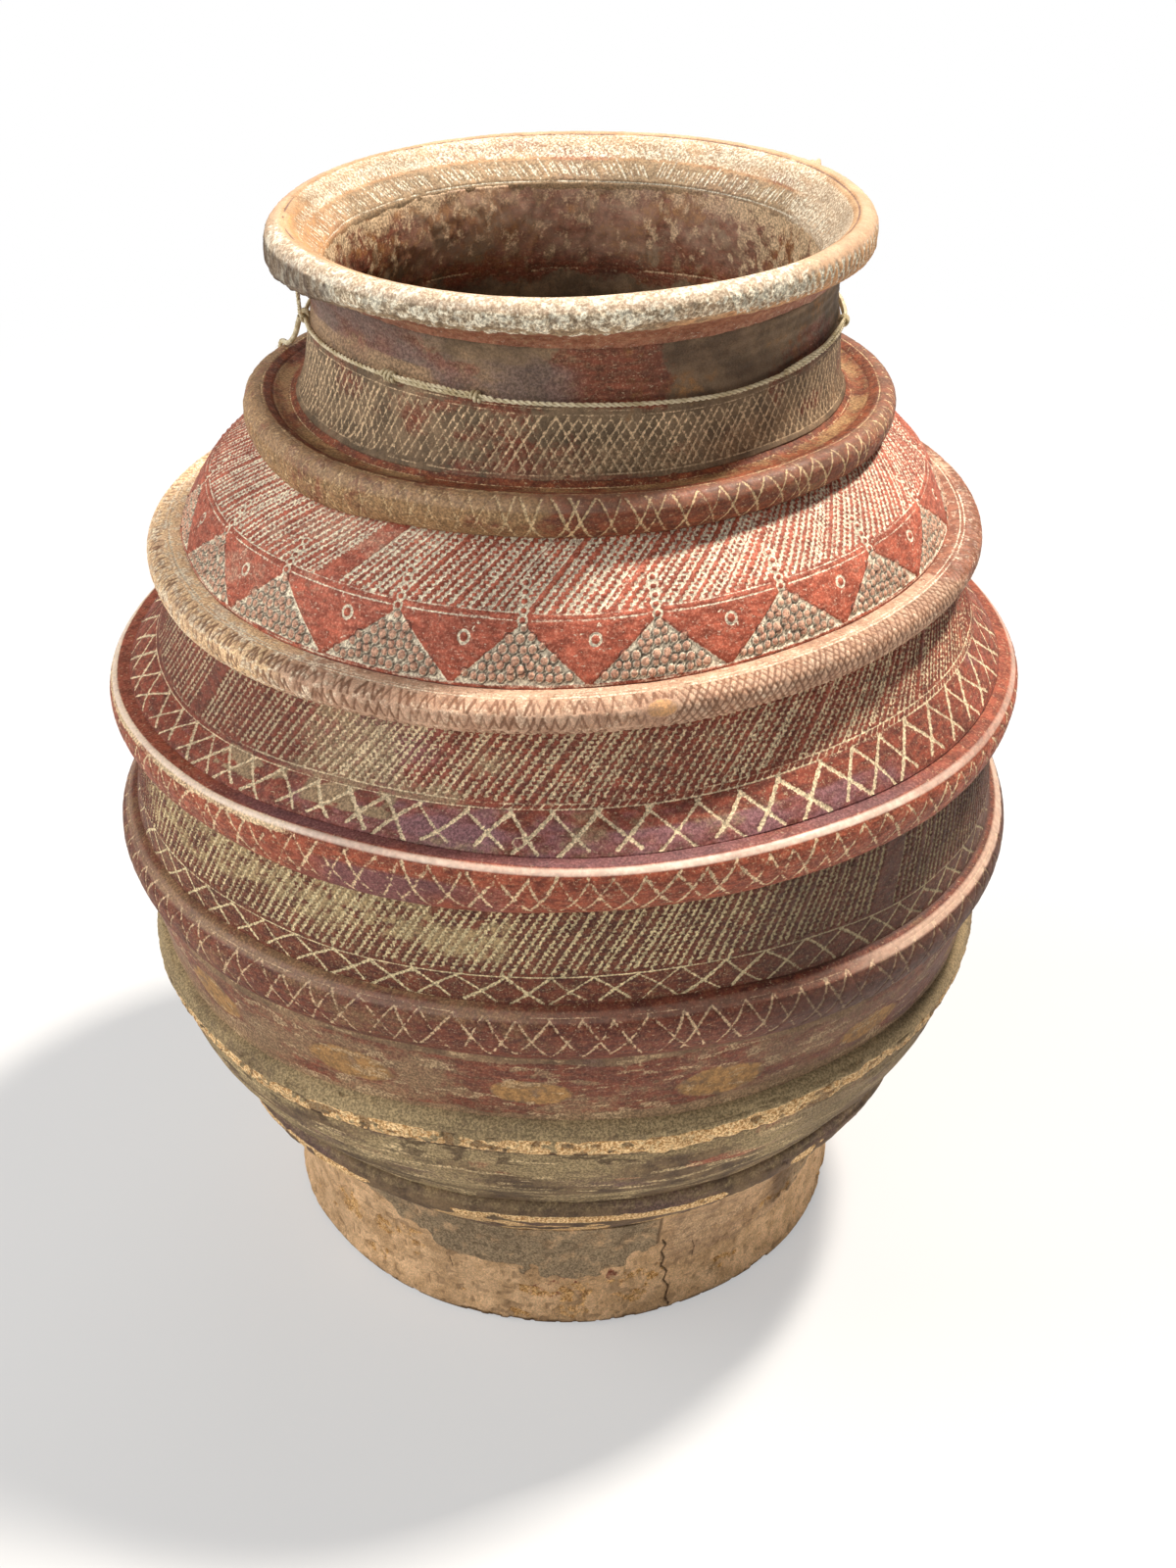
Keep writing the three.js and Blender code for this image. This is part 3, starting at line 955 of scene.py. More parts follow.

# Colours of each piece's clay and what lies on it, with the tints used for painted shade, painted light and
# painted highlights
WARES = {
    "foot": dict(
        clay="#E8C094", clay_dark="#C49E74", dust="#928066", cream="#E6CEA8", grit=1.0, rough=0.88,
        shadow="#4A3628",
    ),
    "worn": dict(
        clay="#80694E", clay_dark="#5C4A3A", dust="#A08C68", cream="#D0B88E", grit=0.9, rough=0.86,
        worn_dark="#BC884E", worn_pale="#F6D6A2",
    ),
    "painted": dict(slip="#8A4A34", slip_dark="#643629", dust="#94785A", cream="#B49A78", ochre="#A47C4E"),
    "low": dict(slip="#80422E", slip_dark="#582C22", dust="#90704F", cream="#CFB28E"),
    "lower": dict(slip="#7C3E29", slip_dark="#54291E", dust="#A89068", cream="#D8C69C"),
    "ridge": dict(
        slip="#AC553A", slip_dark="#783826", dust="#B08A68", cream="#DCC09A", bloom="#6C484C",
        highlight_tint="#FFE8D4",
    ),
    "upper": dict(slip="#9E4C37", slip_dark="#6A3327", dust="#A08868", cream="#DEC8A4", bloom="#866066"),
    "shoulder": dict(slip="#C8684E", slip_dark="#904430", dust="#CCA288", cream="#F6DEC4"),
    "collar": dict(slip="#90492C", slip_dark="#62321F", dust="#9E7C54", cream="#D8BC90"),
    "neck": dict(
        clay="#8C745A", clay_dark="#665440", slip="#8A4A34", slip_dark="#663C2A", dust="#9A7E60",
        cream="#D0B490", bloom="#746058", ochre="#9A6C3E",
    ),
    # The pale ware's bloom is a bright tint: painted light on the left of the shoulder ridge
    "pale": dict(
        clay="#D4AE92", clay_dark="#B68E74", slip="#B0745A", slip_dark="#8C5844", dust="#A67E60",
        cream="#F2DAC0", grit=0.8, rough=0.7, ochre="#C8986A", shadow="#7E563E", bloom="#FFCA9C",
    ),
    "rim": dict(
        clay="#CEA882", clay_dark="#B68E68", slip="#B4785A", slip_dark="#94583E", dust="#A08C70",
        cream="#EAE0CA", grit=0.8, rough=0.76, ochre="#D09866",
    ),
}
wares = {name: earthenware(name + "_ware", **colours) for name, colours in WARES.items()}


def make_foot():
    face, knots = ridge_face(
        212, [[204, 0], [207, 0.4], [208.4, 3], [208.8, 20], [209.3, 38], [210.3, 58], [212, 77],
        [217.5, 99.5]], 21,
    )
    rough = face.cloud(5, octaves=2)
    lumps = face.cloud(26, octaves=3)
    flat = ease(2, 9, face.s)[:, None]
    face.relief += (0.28 * rough + 0.7 * lumps) * flat
    # Grey-brown stain that has run down from the bowl on the front left
    edge = np.interp(face.azimuth, [-60, -40, -34, -25, -12, 0, 10, 17], [100, 92, 74, 61, 58, 46, 50, 74])
    edge = edge + 5 * face.ring_noise(60) + 3 * face.ring_noise(170)
    nibble = 5 * face.cloud(9, 1.4, 2)
    stain = ease(-0.9, 0.9, face.z[:, None] - edge[None, :] + nibble) * face.sector(-52, 17, 2)
    back = ease(
        -0.9, 0.9,
        face.z[:, None] - (66 + 14 * face.ring_noise(17) + 4 * face.ring_noise(90))[None, :] + nibble,
    )
    stain = np.maximum(stain, back * face.sector(60, 260, 20))
    face.coat((0.72 + 0.25 * face.cloud(12)) * stain)
    face.bloom(0.2 * stain)
    face.relief += 0.5 * stain
    face.soot(2.6 * stain * (1 - stain))
    # The skin of clay that has come off below it leaves a coarse face, its sunken edge darkened as painted
    # shade
    flake = ease(0.12, 0.2, face.cloud(30, 1.6)) * face.zone(6, 44, 4) * face.sector(-9, 26, 6)
    flake = np.maximum(flake, ease(0.46, 0.52, face.cloud(20, 1.7)) * face.zone(5, 66, 6))
    face.relief -= (1.1 + 0.5 * rough) * flake
    face.worn((0.5 + 0.3 * rough) * flake)
    face.soot(1.8 * flake * (1 - flake))
    face.fill(0.34 * ease(0.1, 0.6, face.cloud(24, 1.5)) * (1 - stain))
    face.soot(0.45 * ease(0.5, 0.7, face.cloud(8)) * face.sector(-10, 14, 6) * face.zone(20, 62, 8))
    face.slip(0.5 * ease(0.35, 0.6, face.cloud(9)) * face.sector(-6, 12, 5) * face.zone(30, 60, 8))
    face.bloom(0.4 * face.sector(21, 48, 5) * face.zone(52, 100, 6))
    # Painted shade along the bottom edge, where the foot meets the floor
    face.soot(0.75 * face.zone(0, 3, 7))
    # Pits, darkened with painted shade
    pits = ease(0.72, 0.85, face.cloud(4, octaves=1))
    face.cut += 0.7 * pits
    face.soot(0.45 * pits)
    # Cracks down the front, right of the middle, dark with painted shade in their gaps
    crack = [
        (19.0, 72), (19.8, 66), (18.9, 60), (19.6, 53), (19.0, 45), (20.4, 38), (19.7, 30), (20.9, 22),
        (20.2, 12), (21.0, 4),
    ]
    for (a0, z0), (a1, z1) in zip(crack, crack[1:]):
        face.stroke(a0, face.at(z0), a1, face.at(z1), 1.5, 2.2, fill=0, soot=1.0)
    fine_cracks = (((25.6, 62), (26.2, 55)), ((26.2, 55), (25.8, 46)), ((-24, 50), (-23.2, 42)))
    for (a0, z0), (a1, z1) in fine_cracks:
        face.stroke(a0, face.at(z0), a1, face.at(z1), 1.1, 1.2, fill=0, soot=0.8)
    under = [[215.4, 98.5], [192.4, 84], [190.6, 45], [190, 12], [190.6, 3], [192.5, 0], [198, 0]]
    # The ring's inner side is darkened as painted shade
    grow("foot_ring", [face, under], "foot", plain={"coat": 0.2, "soot": 0.25})


def make_bottom():
    face = Face(between(98.2, 146, FINE * 1.1), columns_for(240) // 2 * 2, 22)
    face.relief += 0.25 * face.cloud(6, octaves=2) + 0.5 * face.cloud(30)
    face.coat(0.35 + 0.3 * face.cloud(30, 2.5))
    face.bloom(0.45 + 0.35 * face.cloud(24, 2.5))
    face.worn(0.7 * ease(0.3, 0.5, face.cloud(22, 3)))
    under = [
        [0, 62], [40, 62.4], [80, 63.6], [112, 65], [140, 68.5], [170, 74], [192.5, 84], [206, 92],
        [214, 97.2],
    ]
    inner = [
        in_wall(3, 4), in_wall(3, WALL_THICKNESS), [228, 139], [216, 126], [206, 115], [196, 107],
        [178, 98],
        [160, 91], [132, 86], [105, 82], [70, 80.6], [35, 80.1], [0, 80],
    ]
    # Its plain sides are darkened as painted shade
    grow("bottom", [under, face, inner], "worn", plain={"coat": 0.3, "soot": 0.2})


def make_foot_ridge():
    face, knots = ridge_face(
        259,
        [[246, 137.5], [252, 139.3], [257.4, 144], [259.7, 150], [259.7, 156], [258.2, 161], [255, 163]],
        23, FINE * 0.9,
    )
    chips = ease(0.25, 0.5, face.cloud(16, 2.2))
    face.relief += (
        0.3 * face.cloud(5, octaves=2) + 0.6 * face.cloud(24, 2)
        - 1.2 * chips * face.zone(knots[2], knots[4], 3)
    )
    crest = face.zone(knots[1] + 2, knots[3], 3)
    gone = ease(0.0, 0.3, face.cloud(34, 2.5) + 0.45 * face.sector(-75, 35, 12) - 0.02)
    face.worn(np.maximum(0.85 * crest * gone, 0.8 * chips * crest))
    face.coat(0.4 * face.zone(knots[4], knots[6], 2))
    face.bloom(0.3 + 0.3 * face.cloud(22, 3))
    # Painted shade on the underside
    face.soot(0.5 * face.zone(0, knots[1], 2))
    back = [in_wall(4, 1.0), in_wall(3, 1.0)]
    grow("foot_ridge", [face, back], "worn")


def make_lower_wall():
    face = wall_face(285, 158, 238, 24)
    streaks = face.cloud(3.2, 9, 2)
    face.relief += 0.3 * streaks + 0.25 * face.cloud(9, 3) + 0.6 * face.cloud(40, 2)
    face.coat(0.5 + 0.5 * face.cloud(20, 4) + 0.25 * face.sector(-100, -25, 20), 0.9)
    face.bloom(0.2 + 0.7 * face.cloud(16, 4), 0.8, face.zone(face.at(200), 200, 20))
    face.slip(0.6 * ease(0.25, 0.6, face.cloud(14, 3.5)) * face.belt(206, 234, 8))
    face.fill(0.5 * ease(0.3, 0.7, streaks) * face.zone(6, face.at(225), 8))
    face.soot(0.6 * ease(0.35, 0.6, face.cloud(5, 3)) * face.belt(218, 238, 5))
    # Painted shade in the crease above the foot ridge, and over the right side
    face.soot(0.4 * face.zone(0, face.at(162), 3))
    face.soot(0.44 * face.sector(38, 110, 20))
    for k in range(70):
        s = face.some(4, face.s[-1] - 6)
        azimuth = face.some(-180, 180)
        run = face.some(6, 26)
        face.stroke(
            azimuth, s, azimuth + run, s + face.off(1.2), 1.1, 0.4, fill=0, soot=0.4, bow=face.off(1),
        )
    inner = [
        in_wall(7, 1), in_wall(7, WALL_THICKNESS), [281.5, 236], [275, 214], in_wall(5, WALL_THICKNESS),
        [256, 182], in_wall(4, WALL_THICKNESS), in_wall(3, WALL_THICKNESS), in_wall(3, 1),
    ]
    grow("lower_wall", [face, inner], "worn")


def make_worn_ridge():
    face, knots = ridge_face(
        302, [[292, 231.5], [296.5, 233.2], [300.6, 238.5], [302.4, 246], [301.6, 253], [298, 259],
        [293, 261.5]], 25, FINE * 0.9,
    )
    crumbs = face.cloud(4.5, octaves=2)
    bright = face.sector(12, 38, 8)
    gone = ease(-0.25, 0.2, face.cloud(60, 2.2) + 0.45 * face.sector(-60, 45, 20) + 0.9 * bright - 0.1)
    crest = face.zone(knots[1] + 1, knots[3] + 2, 2.5)
    face.relief += 0.3 * crumbs + 0.5 * face.cloud(30, 2)
    face.relief -= crest * gone * (0.9 + 0.9 * crumbs)
    face.relief += bright * face.zone(knots[1], knots[4], 3) * (1.1 + 1.4 * face.cloud(7, 1.5, 2))
    face.worn(crest * gone * (0.78 + 0.5 * crumbs + 0.3 * bright))
    face.fill(0.5 * crest * gone * ease(0.1, 0.5, crumbs))
    # Painted shade on the underside
    face.soot(0.6 * face.zone(0, knots[1], 2.5))
    face.coat((0.75 + 0.25 * face.cloud(18, 3)) * face.zone(knots[2], knots[6], 2))
    face.bloom(0.4 * face.zone(0, knots[2], 2) * (0.6 + 0.5 * face.cloud(12, 3)))
    # Chips on the left and holes in the crest, darkened with painted shade
    chips = (
        ease(0.3, 0.42, face.cloud(11, 1.6)) * face.sector(-75, -28, 8) * face.zone(knots[1], knots[5], 2)
    )
    face.cut += 1.6 * chips
    holes = ease(0.62, 0.78, face.cloud(6, 1.6, 1)) * crest
    face.cut += 1.2 * holes
    face.soot(np.maximum(0.6 * holes, 0.35 * chips))
    # Painted shade over the right side, and a dark line of painted shade near the top
    face.soot(0.42 * face.sector(42, 110, 20))
    face.line(knots[4] - 0.5, 0.9, 0.4, fill=0, soot=0.6, wander=0.7, gaps=0.25)
    back = [in_wall(8, 1), in_wall(7, 1), in_wall(6, 1)]
    grow("worn_ridge", [face, back], "worn")


def make_painted_wall():
    face = wall_face(302, 258, 321, 26, FINE * 1.1)
    face.relief += 0.16 * face.cloud(5, 2, 2) + 0.35 * face.cloud(36, 2)
    up = face.at
    ragged = face.ring_noise(31) * 3 + face.ring_noise(110) * 1.6
    low = ease(-3, 3, face.s[:, None] - (up(266) + ragged)[None, :])
    ragged = face.ring_noise(27) * 4 + face.ring_noise(90) * 2
    high = 1 - ease(-4, 4, face.s[:, None] - (up(314) + ragged)[None, :])
    face.slip(low * high * np.clip(0.9 + 0.35 * face.cloud(14, 2), 0, 1))
    face.coat(0.75 * (1 - low) + 0.6 * (1 - high) * (0.7 + 0.4 * face.cloud(16, 2)))
    face.coat(0.28 + 0.3 * face.cloud(18, 2.5) + 0.22 * face.sector(-90, -25, 20), 0.7)
    face.bloom(0.1 + 0.5 * face.cloud(24, 2.4), 0.6, face.sector(-15, 60, 20))
    scuffs = ease(0.28, 0.5, face.cloud(3.6, 4, 2) + 0.25 * face.cloud(24, 2))
    face.fill(0.5 * scuffs)
    face.relief -= 0.25 * scuffs
    # Painted shade over the right side
    face.soot(0.42 * face.sector(30, 110, 24))
    spots = spaced([-51.5, -27.3, -4.4, 19.3, 41.5], 15)
    for k, azimuth in enumerate(spots):
        size = face.some(0.88, 1.1)
        body = face.spot(azimuth, up(286) + face.off(1.5), 60 * size, 27 * size, 0.25)
        face.ochre(body * (0.72 + 0.3 * face.cloud(9)))
        face.bare("slip", 0.7 * body)
        face.bare("coat", 0.75 * body)
        face.bare("bloom", 0.8 * body)
    face.coat(0.6 * ease(0.45, 0.6, face.cloud(9, 2.4)) * face.sector(-10, 12, 10) * face.belt(296, 312, 5))
    grow("painted_wall", [face, lining(7, 10, [[287, 285]])], "painted")


def make_low_ridge():
    face, knots = ridge_face(
        315, [[300.5, 314], [304.5, 317.6], [309.6, 323], [314, 331.5], [316, 340], [315.6, 347.5],
        [312.4, 354.5], [306.5, 359.8], [301.5, 361.5]], 27,
    )
    face.lump(0.1, 0.35, 40)
    face.slip(1.0)
    # Burnish on the crest, lightened as painted highlight, most on the right
    face.gloss(face.zone(knots[6] - 1, knots[7] - 3, 1.5) * (0.15 + 0.6 * face.sector(45, 110, 15)))
    lower = 1 - ease(-1.5, 1.5, face.s[:, None] - (knots[1] + 2 * face.ring_noise(60) + 1)[None, :])
    face.bloom(0.5 * lower)
    face.coat(0.12 + 0.3 * face.cloud(20, 2.5) + 0.2 * face.sector(-80, -20, 20), 0.6)
    top = face.zone(knots[6], knots[8], 2)
    face.coat(top * np.clip(0.5 * face.sector(-75, -12, 20) + 0.3 * face.cloud(20, 3), 0, 0.7))
    # Painted shade over the right side, below the crest
    face.soot(0.6 * face.sector(30, 110, 24) * (1 - face.zone(knots[6] - 1, knots[7], 2)))
    centres = np.arange(98) / 98 * 360 + face.rng.normal(0, 0.35, 98)
    face.crosses(centres, knots[2] + 1, knots[6] + 0.5, 1.9, 0.6, 0.8, crossing=0.5, stray=1.1)
    face.scuff(knots[1], knots[6], 0.5, 0.3)
    face.line(knots[6] + 2, 1.0, 0.4, 0.6, wander=0.6, gaps=0.3)
    back = [in_wall(11, 1), in_wall(10, 1), [302, 322]]
    grow("low_ridge", [face, back], "low")


def make_lower_belly():
    face = wall_face(302, 357, 434, 28)
    up = face.at
    face.lump(0.1, 0.4, 45)
    face.slip(1.0)
    # Olive-cream deposit that clings to the upper half on the left
    edge = up(405) + 6 * face.ring_noise(20) + 4 * face.ring_noise(70)
    pale = ease(-8, 8, face.s[:, None] - edge[None, :]) * face.sector(-62, -22, 14)
    pale = np.maximum(pale, 0.9 * face.sector(-16, -8, 3) * face.belt(395, 420, 8))
    face.coat(0.46 * pale + 0.5 * face.cloud(5, 1.5) * pale + 0.12 + 0.25 * face.cloud(26, 2), 0.75)
    # Painted shade over the right side, partly carried by the bloom
    face.soot(0.54 * face.sector(30, 110, 24))
    face.bloom(0.25 * face.sector(30, 95, 20) + 0.35 * face.cloud(30, 2.2) - 0.15, 0.5)
    lean = ([-180, -60, -20, 20, 45, 90, 180], [0.55, 0.55, 0.6, 0.5, 0.2, 0.1, 0.4])
    face.hatch(up(383.5), up(431), 311, lean, 2.3, 1.1, 0.95, skip=[(40.5, 44.5), (-160, -156), (128, 132)])
    face.scuff(up(384), up(432))
    face.line(up(381), 1.0, 0.5, 0.85, wander=0.5)
    seen = [-42, -37, -31.5, -26.2, -20.8, -15.4, -10, -4.6, 0.5, 5.7, 10.8, 16, 21.2, 26.4, 31.8, 37, 42]
    centres = spaced(seen, 69)
    face.crosses(centres, up(361), up(380), 1.9, 0.55, 0.85, crossing=0.53, stray=1.0)
    face.line(up(360.3), 1.1, 0.4, 0.6, wander=0.6, gaps=0.25)
    # Painted shade along its foot, above the low ridge
    face.soot(0.3 * face.zone(0, 1.5, 2))
    grow(
        "lower_belly_wall", [face, lining(10, 14, [[287.5, 408]])], "lower",
        name="lower_belly_worked",
    )


def make_belly_ridge():
    face, knots = ridge_face(
        313, [[296, 429], [301, 430.6], [306.6, 433.6], [311.6, 440.5], [314, 449], [313.2, 455.5],
        [309.6, 460.2], [303.5, 462.4], [296, 462.6], [288, 462.2]], 29,
    )
    face.lump(0.07, 0.4, 50, grain=6)
    face.slip(1.0)
    # Painted highlight along the crest, on burnish
    crest = face.zone(knots[6] - 2.4, knots[6] + 0.6, 1.2)
    face.gloss(
        crest * np.clip(0.95 + 0.35 * face.cloud(18, 3), 0, 1) * (0.5 + 0.5 * face.sector(-110, 38, 20))
    )
    # The crest on the left lightened with filling as painted highlight
    face.fill(
        0.72 * face.sector(-115, -36, 10) * face.zone(knots[5] + 0.5, knots[6] + 1, 1.5)
        * (0.9 + 0.4 * face.cloud(8, 3))
    )
    # Painted shadow of the shoulder ridge on the ridge's top, most at the front
    face.bloom(
        (0.25 + 0.6 * face.sector(-34, 34, 22)) * face.zone(knots[6] + 3, knots[9], 1.8)
        * (0.85 + 0.25 * face.cloud(20, 3))
    )
    face.bloom(
        0.55 * face.sector(-30, -10, 12) + 0.3 * face.cloud(30, 2), 0.7, face.zone(knots[1], knots[4], 4),
    )
    face.coat(0.3 * face.cloud(20, 2), 0.5, face.zone(knots[1], knots[4], 4))
    centres = (np.arange(108) + face.rng.normal(0, 0.12, 108)) / 108 * 360
    face.crosses(centres, knots[2] + 0.5, knots[5] + 0.6, 2.0, 0.6, 0.78, crossing=0.5, stray=1.2)
    face.scuff(knots[1], knots[5], 0.5, 0.35)
    # Painted shade on the underside
    face.soot(0.4 * face.zone(0, knots[1], 2))
    back = [in_wall(15, 1), in_wall(14, 1), [298, 434]]
    grow("belly_ridge", [face, back], "ridge")


def make_upper_belly():
    # The wall is thickened at its foot, where it was pressed out over the ridge
    line = between(460, 535, FINE)
    line[:, 0] += np.where(line[:, 1] > 462.6, 9.5 * (1 - ease(462, 492, line[:, 1])), 0)
    face = Face(line, columns_for(284), 30)
    up = face.at
    face.lump(0.1, 0.4, 45)
    face.slip(1.0)
    band = face.belt(463, 486, 2)
    face.bloom(0.7 * face.sector(-23, -12, 16) + 0.5 * face.cloud(14, 2), 0.8, band)
    face.bloom(0.35 * face.sector(-36, 6, 12) + 0.3 * face.cloud(34, 2.2) - 0.1, 0.5)
    # Painted shade in the crease over the belly ridge, and the shoulder ridge's painted shadow on the ledge
    # at the front
    face.bloom(0.4 * face.zone(0, up(463), 2))
    face.bloom((0.5 + 0.3 * face.cloud(12, 2)) * face.sector(-14, 40, 14) * face.zone(0, up(474), 5))
    face.coat((0.26 + 0.3 * face.cloud(12, 2)) * face.sector(-14, 22, 10) * band)
    # Painted shade over the left side, outside the crossed band
    face.soot(0.42 * face.sector(-115, -38, 12) * (1 - band))
    pale = face.sector(-34, -14, 10) * (0.3 + 0.4 * face.cloud(20, 2)) - 0.12 * face.sector(-90, -40, 10)
    face.coat(pale + 0.12 + 0.25 * face.cloud(24, 2), 0.6, face.belt(488, 534, 8))
    for low, high in ((-48, -38), (-33, -22)):
        patch = face.sector(low, high, 2) * face.belt(474, 486, 4)
        face.coat(0.85 * patch * ease(-0.5, 0.2, face.cloud(9, 1.6)))
    skip = [(-57.5, -53.5), (96, 101), (-150, -145)]
    lean = ([-180, -60, -20, 0, 25, 180], [0.7, 0.65, 0.7, 0.75, 0.9, 0.7])
    face.hatch(up(491), up(533), 297, lean, 2.2, 1.1, 0.95, skip=skip)
    face.scuff(up(491), up(534))
    face.line(up(489.4), 0.95, 0.5, 0.8, soot=0.15, wander=0.4)
    for azimuth in np.arange(-8, 100, 1.15):
        start = azimuth + face.off(0.1)
        face.stroke(start, up(486.4), start + 0.7, up(489.2), 1.0, 0.5, 0.7)
    face.line(up(486.0), 0.95, 0.5, 0.8, soot=0.15, wander=0.4)
    seen = [
        -63.7, -59.0, -54.5, -50.0, -45.3, -40.6, -35.3, -30.1, -25.1, -20.6, -15.1, -9.3,
        -4.4, 1.0, 6.7, 12.3, 18.3, 23.8, 29.6, 35.6, 40.3, 45.4, 51.3, 56.9,
    ]
    centres = spaced(seen, 67)
    face.crosses(centres, up(463.5), up(484.8), 2.5, 0.7, 0.92, crossing=0.58, stray=1.2)
    face.stamp(-5.6, up(470), 3.4, 1.5, 0.6, 0.4, 0.6)
    grow(
        "upper_belly_wall", [face, lining(14, 18, [[257.5, 512]])], "upper",
        name="upper_belly_worked",
    )


def make_shoulder_ridge():
    face, knots = ridge_face(
        280, [[261, 529.8], [266.5, 531], [272.8, 533.8], [278.2, 539.3], [280.9, 546.5], [279.8, 552],
        [275.5, 555.6], [269, 557.1], [262, 557.2], [255, 556.4]], 31, FINE * 0.95,
    )
    face.lump(0.1, 0.4, 50)
    face.slip(0.35 * face.cloud(26, 2) + 0.6 * face.sector(66, 175, 16))
    face.coat(
        0.12 + 0.45 * face.cloud(4, 1.2, 2) - 0.2 * face.sector(-110, -40, 16), 0.8,
        1 - 0.8 * face.sector(60, 175, 16),
    )
    # More pale filling on the left, and the bright bloom there, are painted light on that side
    face.fill(
        (0.38 + 0.14 * face.sector(-120, -38, 16))
        * ease(-0.2 - 0.4 * face.sector(-120, -38, 16), 0.5, face.cloud(3.4, 1.3, 2))
        * (1 - face.zone(0, knots[1], 2))
    )
    face.bloom(0.95 * face.sector(-130, -44, 14) * (0.85 + 0.3 * face.cloud(12, 2)))
    # Small chevrons in three rows, and on the right a net of crossed strokes, all cut without filling and
    # darkened with painted shade in the grooves
    count = 292
    low, high = knots[1] + 1, knots[7] - 0.5
    for row in range(3):
        s0, s1 = low + (high - low) * (row + 0.12) / 3, low + (high - low) * (row + 0.9) / 3
        drift, press = face.ring_noise(40), face.ring_noise(90)
        for k in range(count):
            j = int(k / count * face.columns)
            azimuth = 360 * (k + 0.5 * row + 0.6 * drift[j] + face.off(0.2)) / count - 180
            if 13 < azimuth < 64:
                continue
            half = 180 / count
            for turn in (-1, 1):
                face.stroke(
                    azimuth + turn * half * face.some(0.7, 1.1), s0 + face.some(-1, 1.6), azimuth,
                    s1 + face.some(-1.6, 1), face.some(1.3, 2.1), 1.0, fill=0,
                    soot=(0.84 + 0.2 * press[j]) * face.some(0.65, 1.15),
                )
    for azimuth in np.arange(13.5, 64, 0.98):
        for turn in (-1, 1):
            start = azimuth + face.off(0.12)
            face.stroke(
                start - turn * 2.1, low, start + turn * 2.1, high, 1.5, 1.0, fill=0,
                soot=face.some(0.7, 1.0),
            )
    for past, gaps in ((0.5, 0.15), (3.4, 0.1)):
        face.line(knots[7] + past, 0.9, 0.5, 0.8, wander=0.4, gaps=gaps)
    bald = face.spot(11.2, knots[5] - 1, 19, 12, 0.2)
    face.ochre(0.62 * bald)
    for name in ("soot", "fill", "coat"):
        face.bare(name, bald)
    face.cut *= 1 - bald
    # Painted shade on the underside
    face.soot(0.4 * face.zone(0, knots[1], 2))
    back = [in_wall(19, 1), in_wall(18, 1), [263, 534]]
    grow("shoulder_ridge", [face, back], "pale")


def packed_grains(face, apex, left, right, base, top):
    """Grains of clay left standing, row on row, in a triangle from its base up to its apex."""
    row, s = 0, base + 2.9
    while s < top - 1:
        radius = face.radius(s)
        share = 1 - (s - base) / (top - base)
        low, high = -left * share * math.radians(radius), right * share * math.radians(radius)
        x = low + 2.6 + 2.7 * (row % 2) + face.some(-0.6, 0.6)
        while x < high - 1.8:
            size = face.some(2.4, 3.2)
            face.pellet(apex + math.degrees(x / radius), s + face.off(0.75), size, face.some(1.2, 1.8))
            x += size * 2.0 + face.some(-0.2, 0.2)
        s += face.some(4.6, 5.2)
        row += 1


def pricked(face, gap, middle):
    """Short pricks round the ring that is stamped in a red triangle."""
    for _ in range(22):
        x, y = face.some(-12, 12), face.some(-14, 8)
        if abs(x) < 9 + y * 0.55 and math.hypot(x, y) > 5.5:
            azimuth = gap + math.degrees(x / 243)
            face.stroke(
                azimuth, middle + y, azimuth + face.off(0.4), middle + y + face.some(0.3, 2.4), 0.8, 0.3,
                0.7,
            )


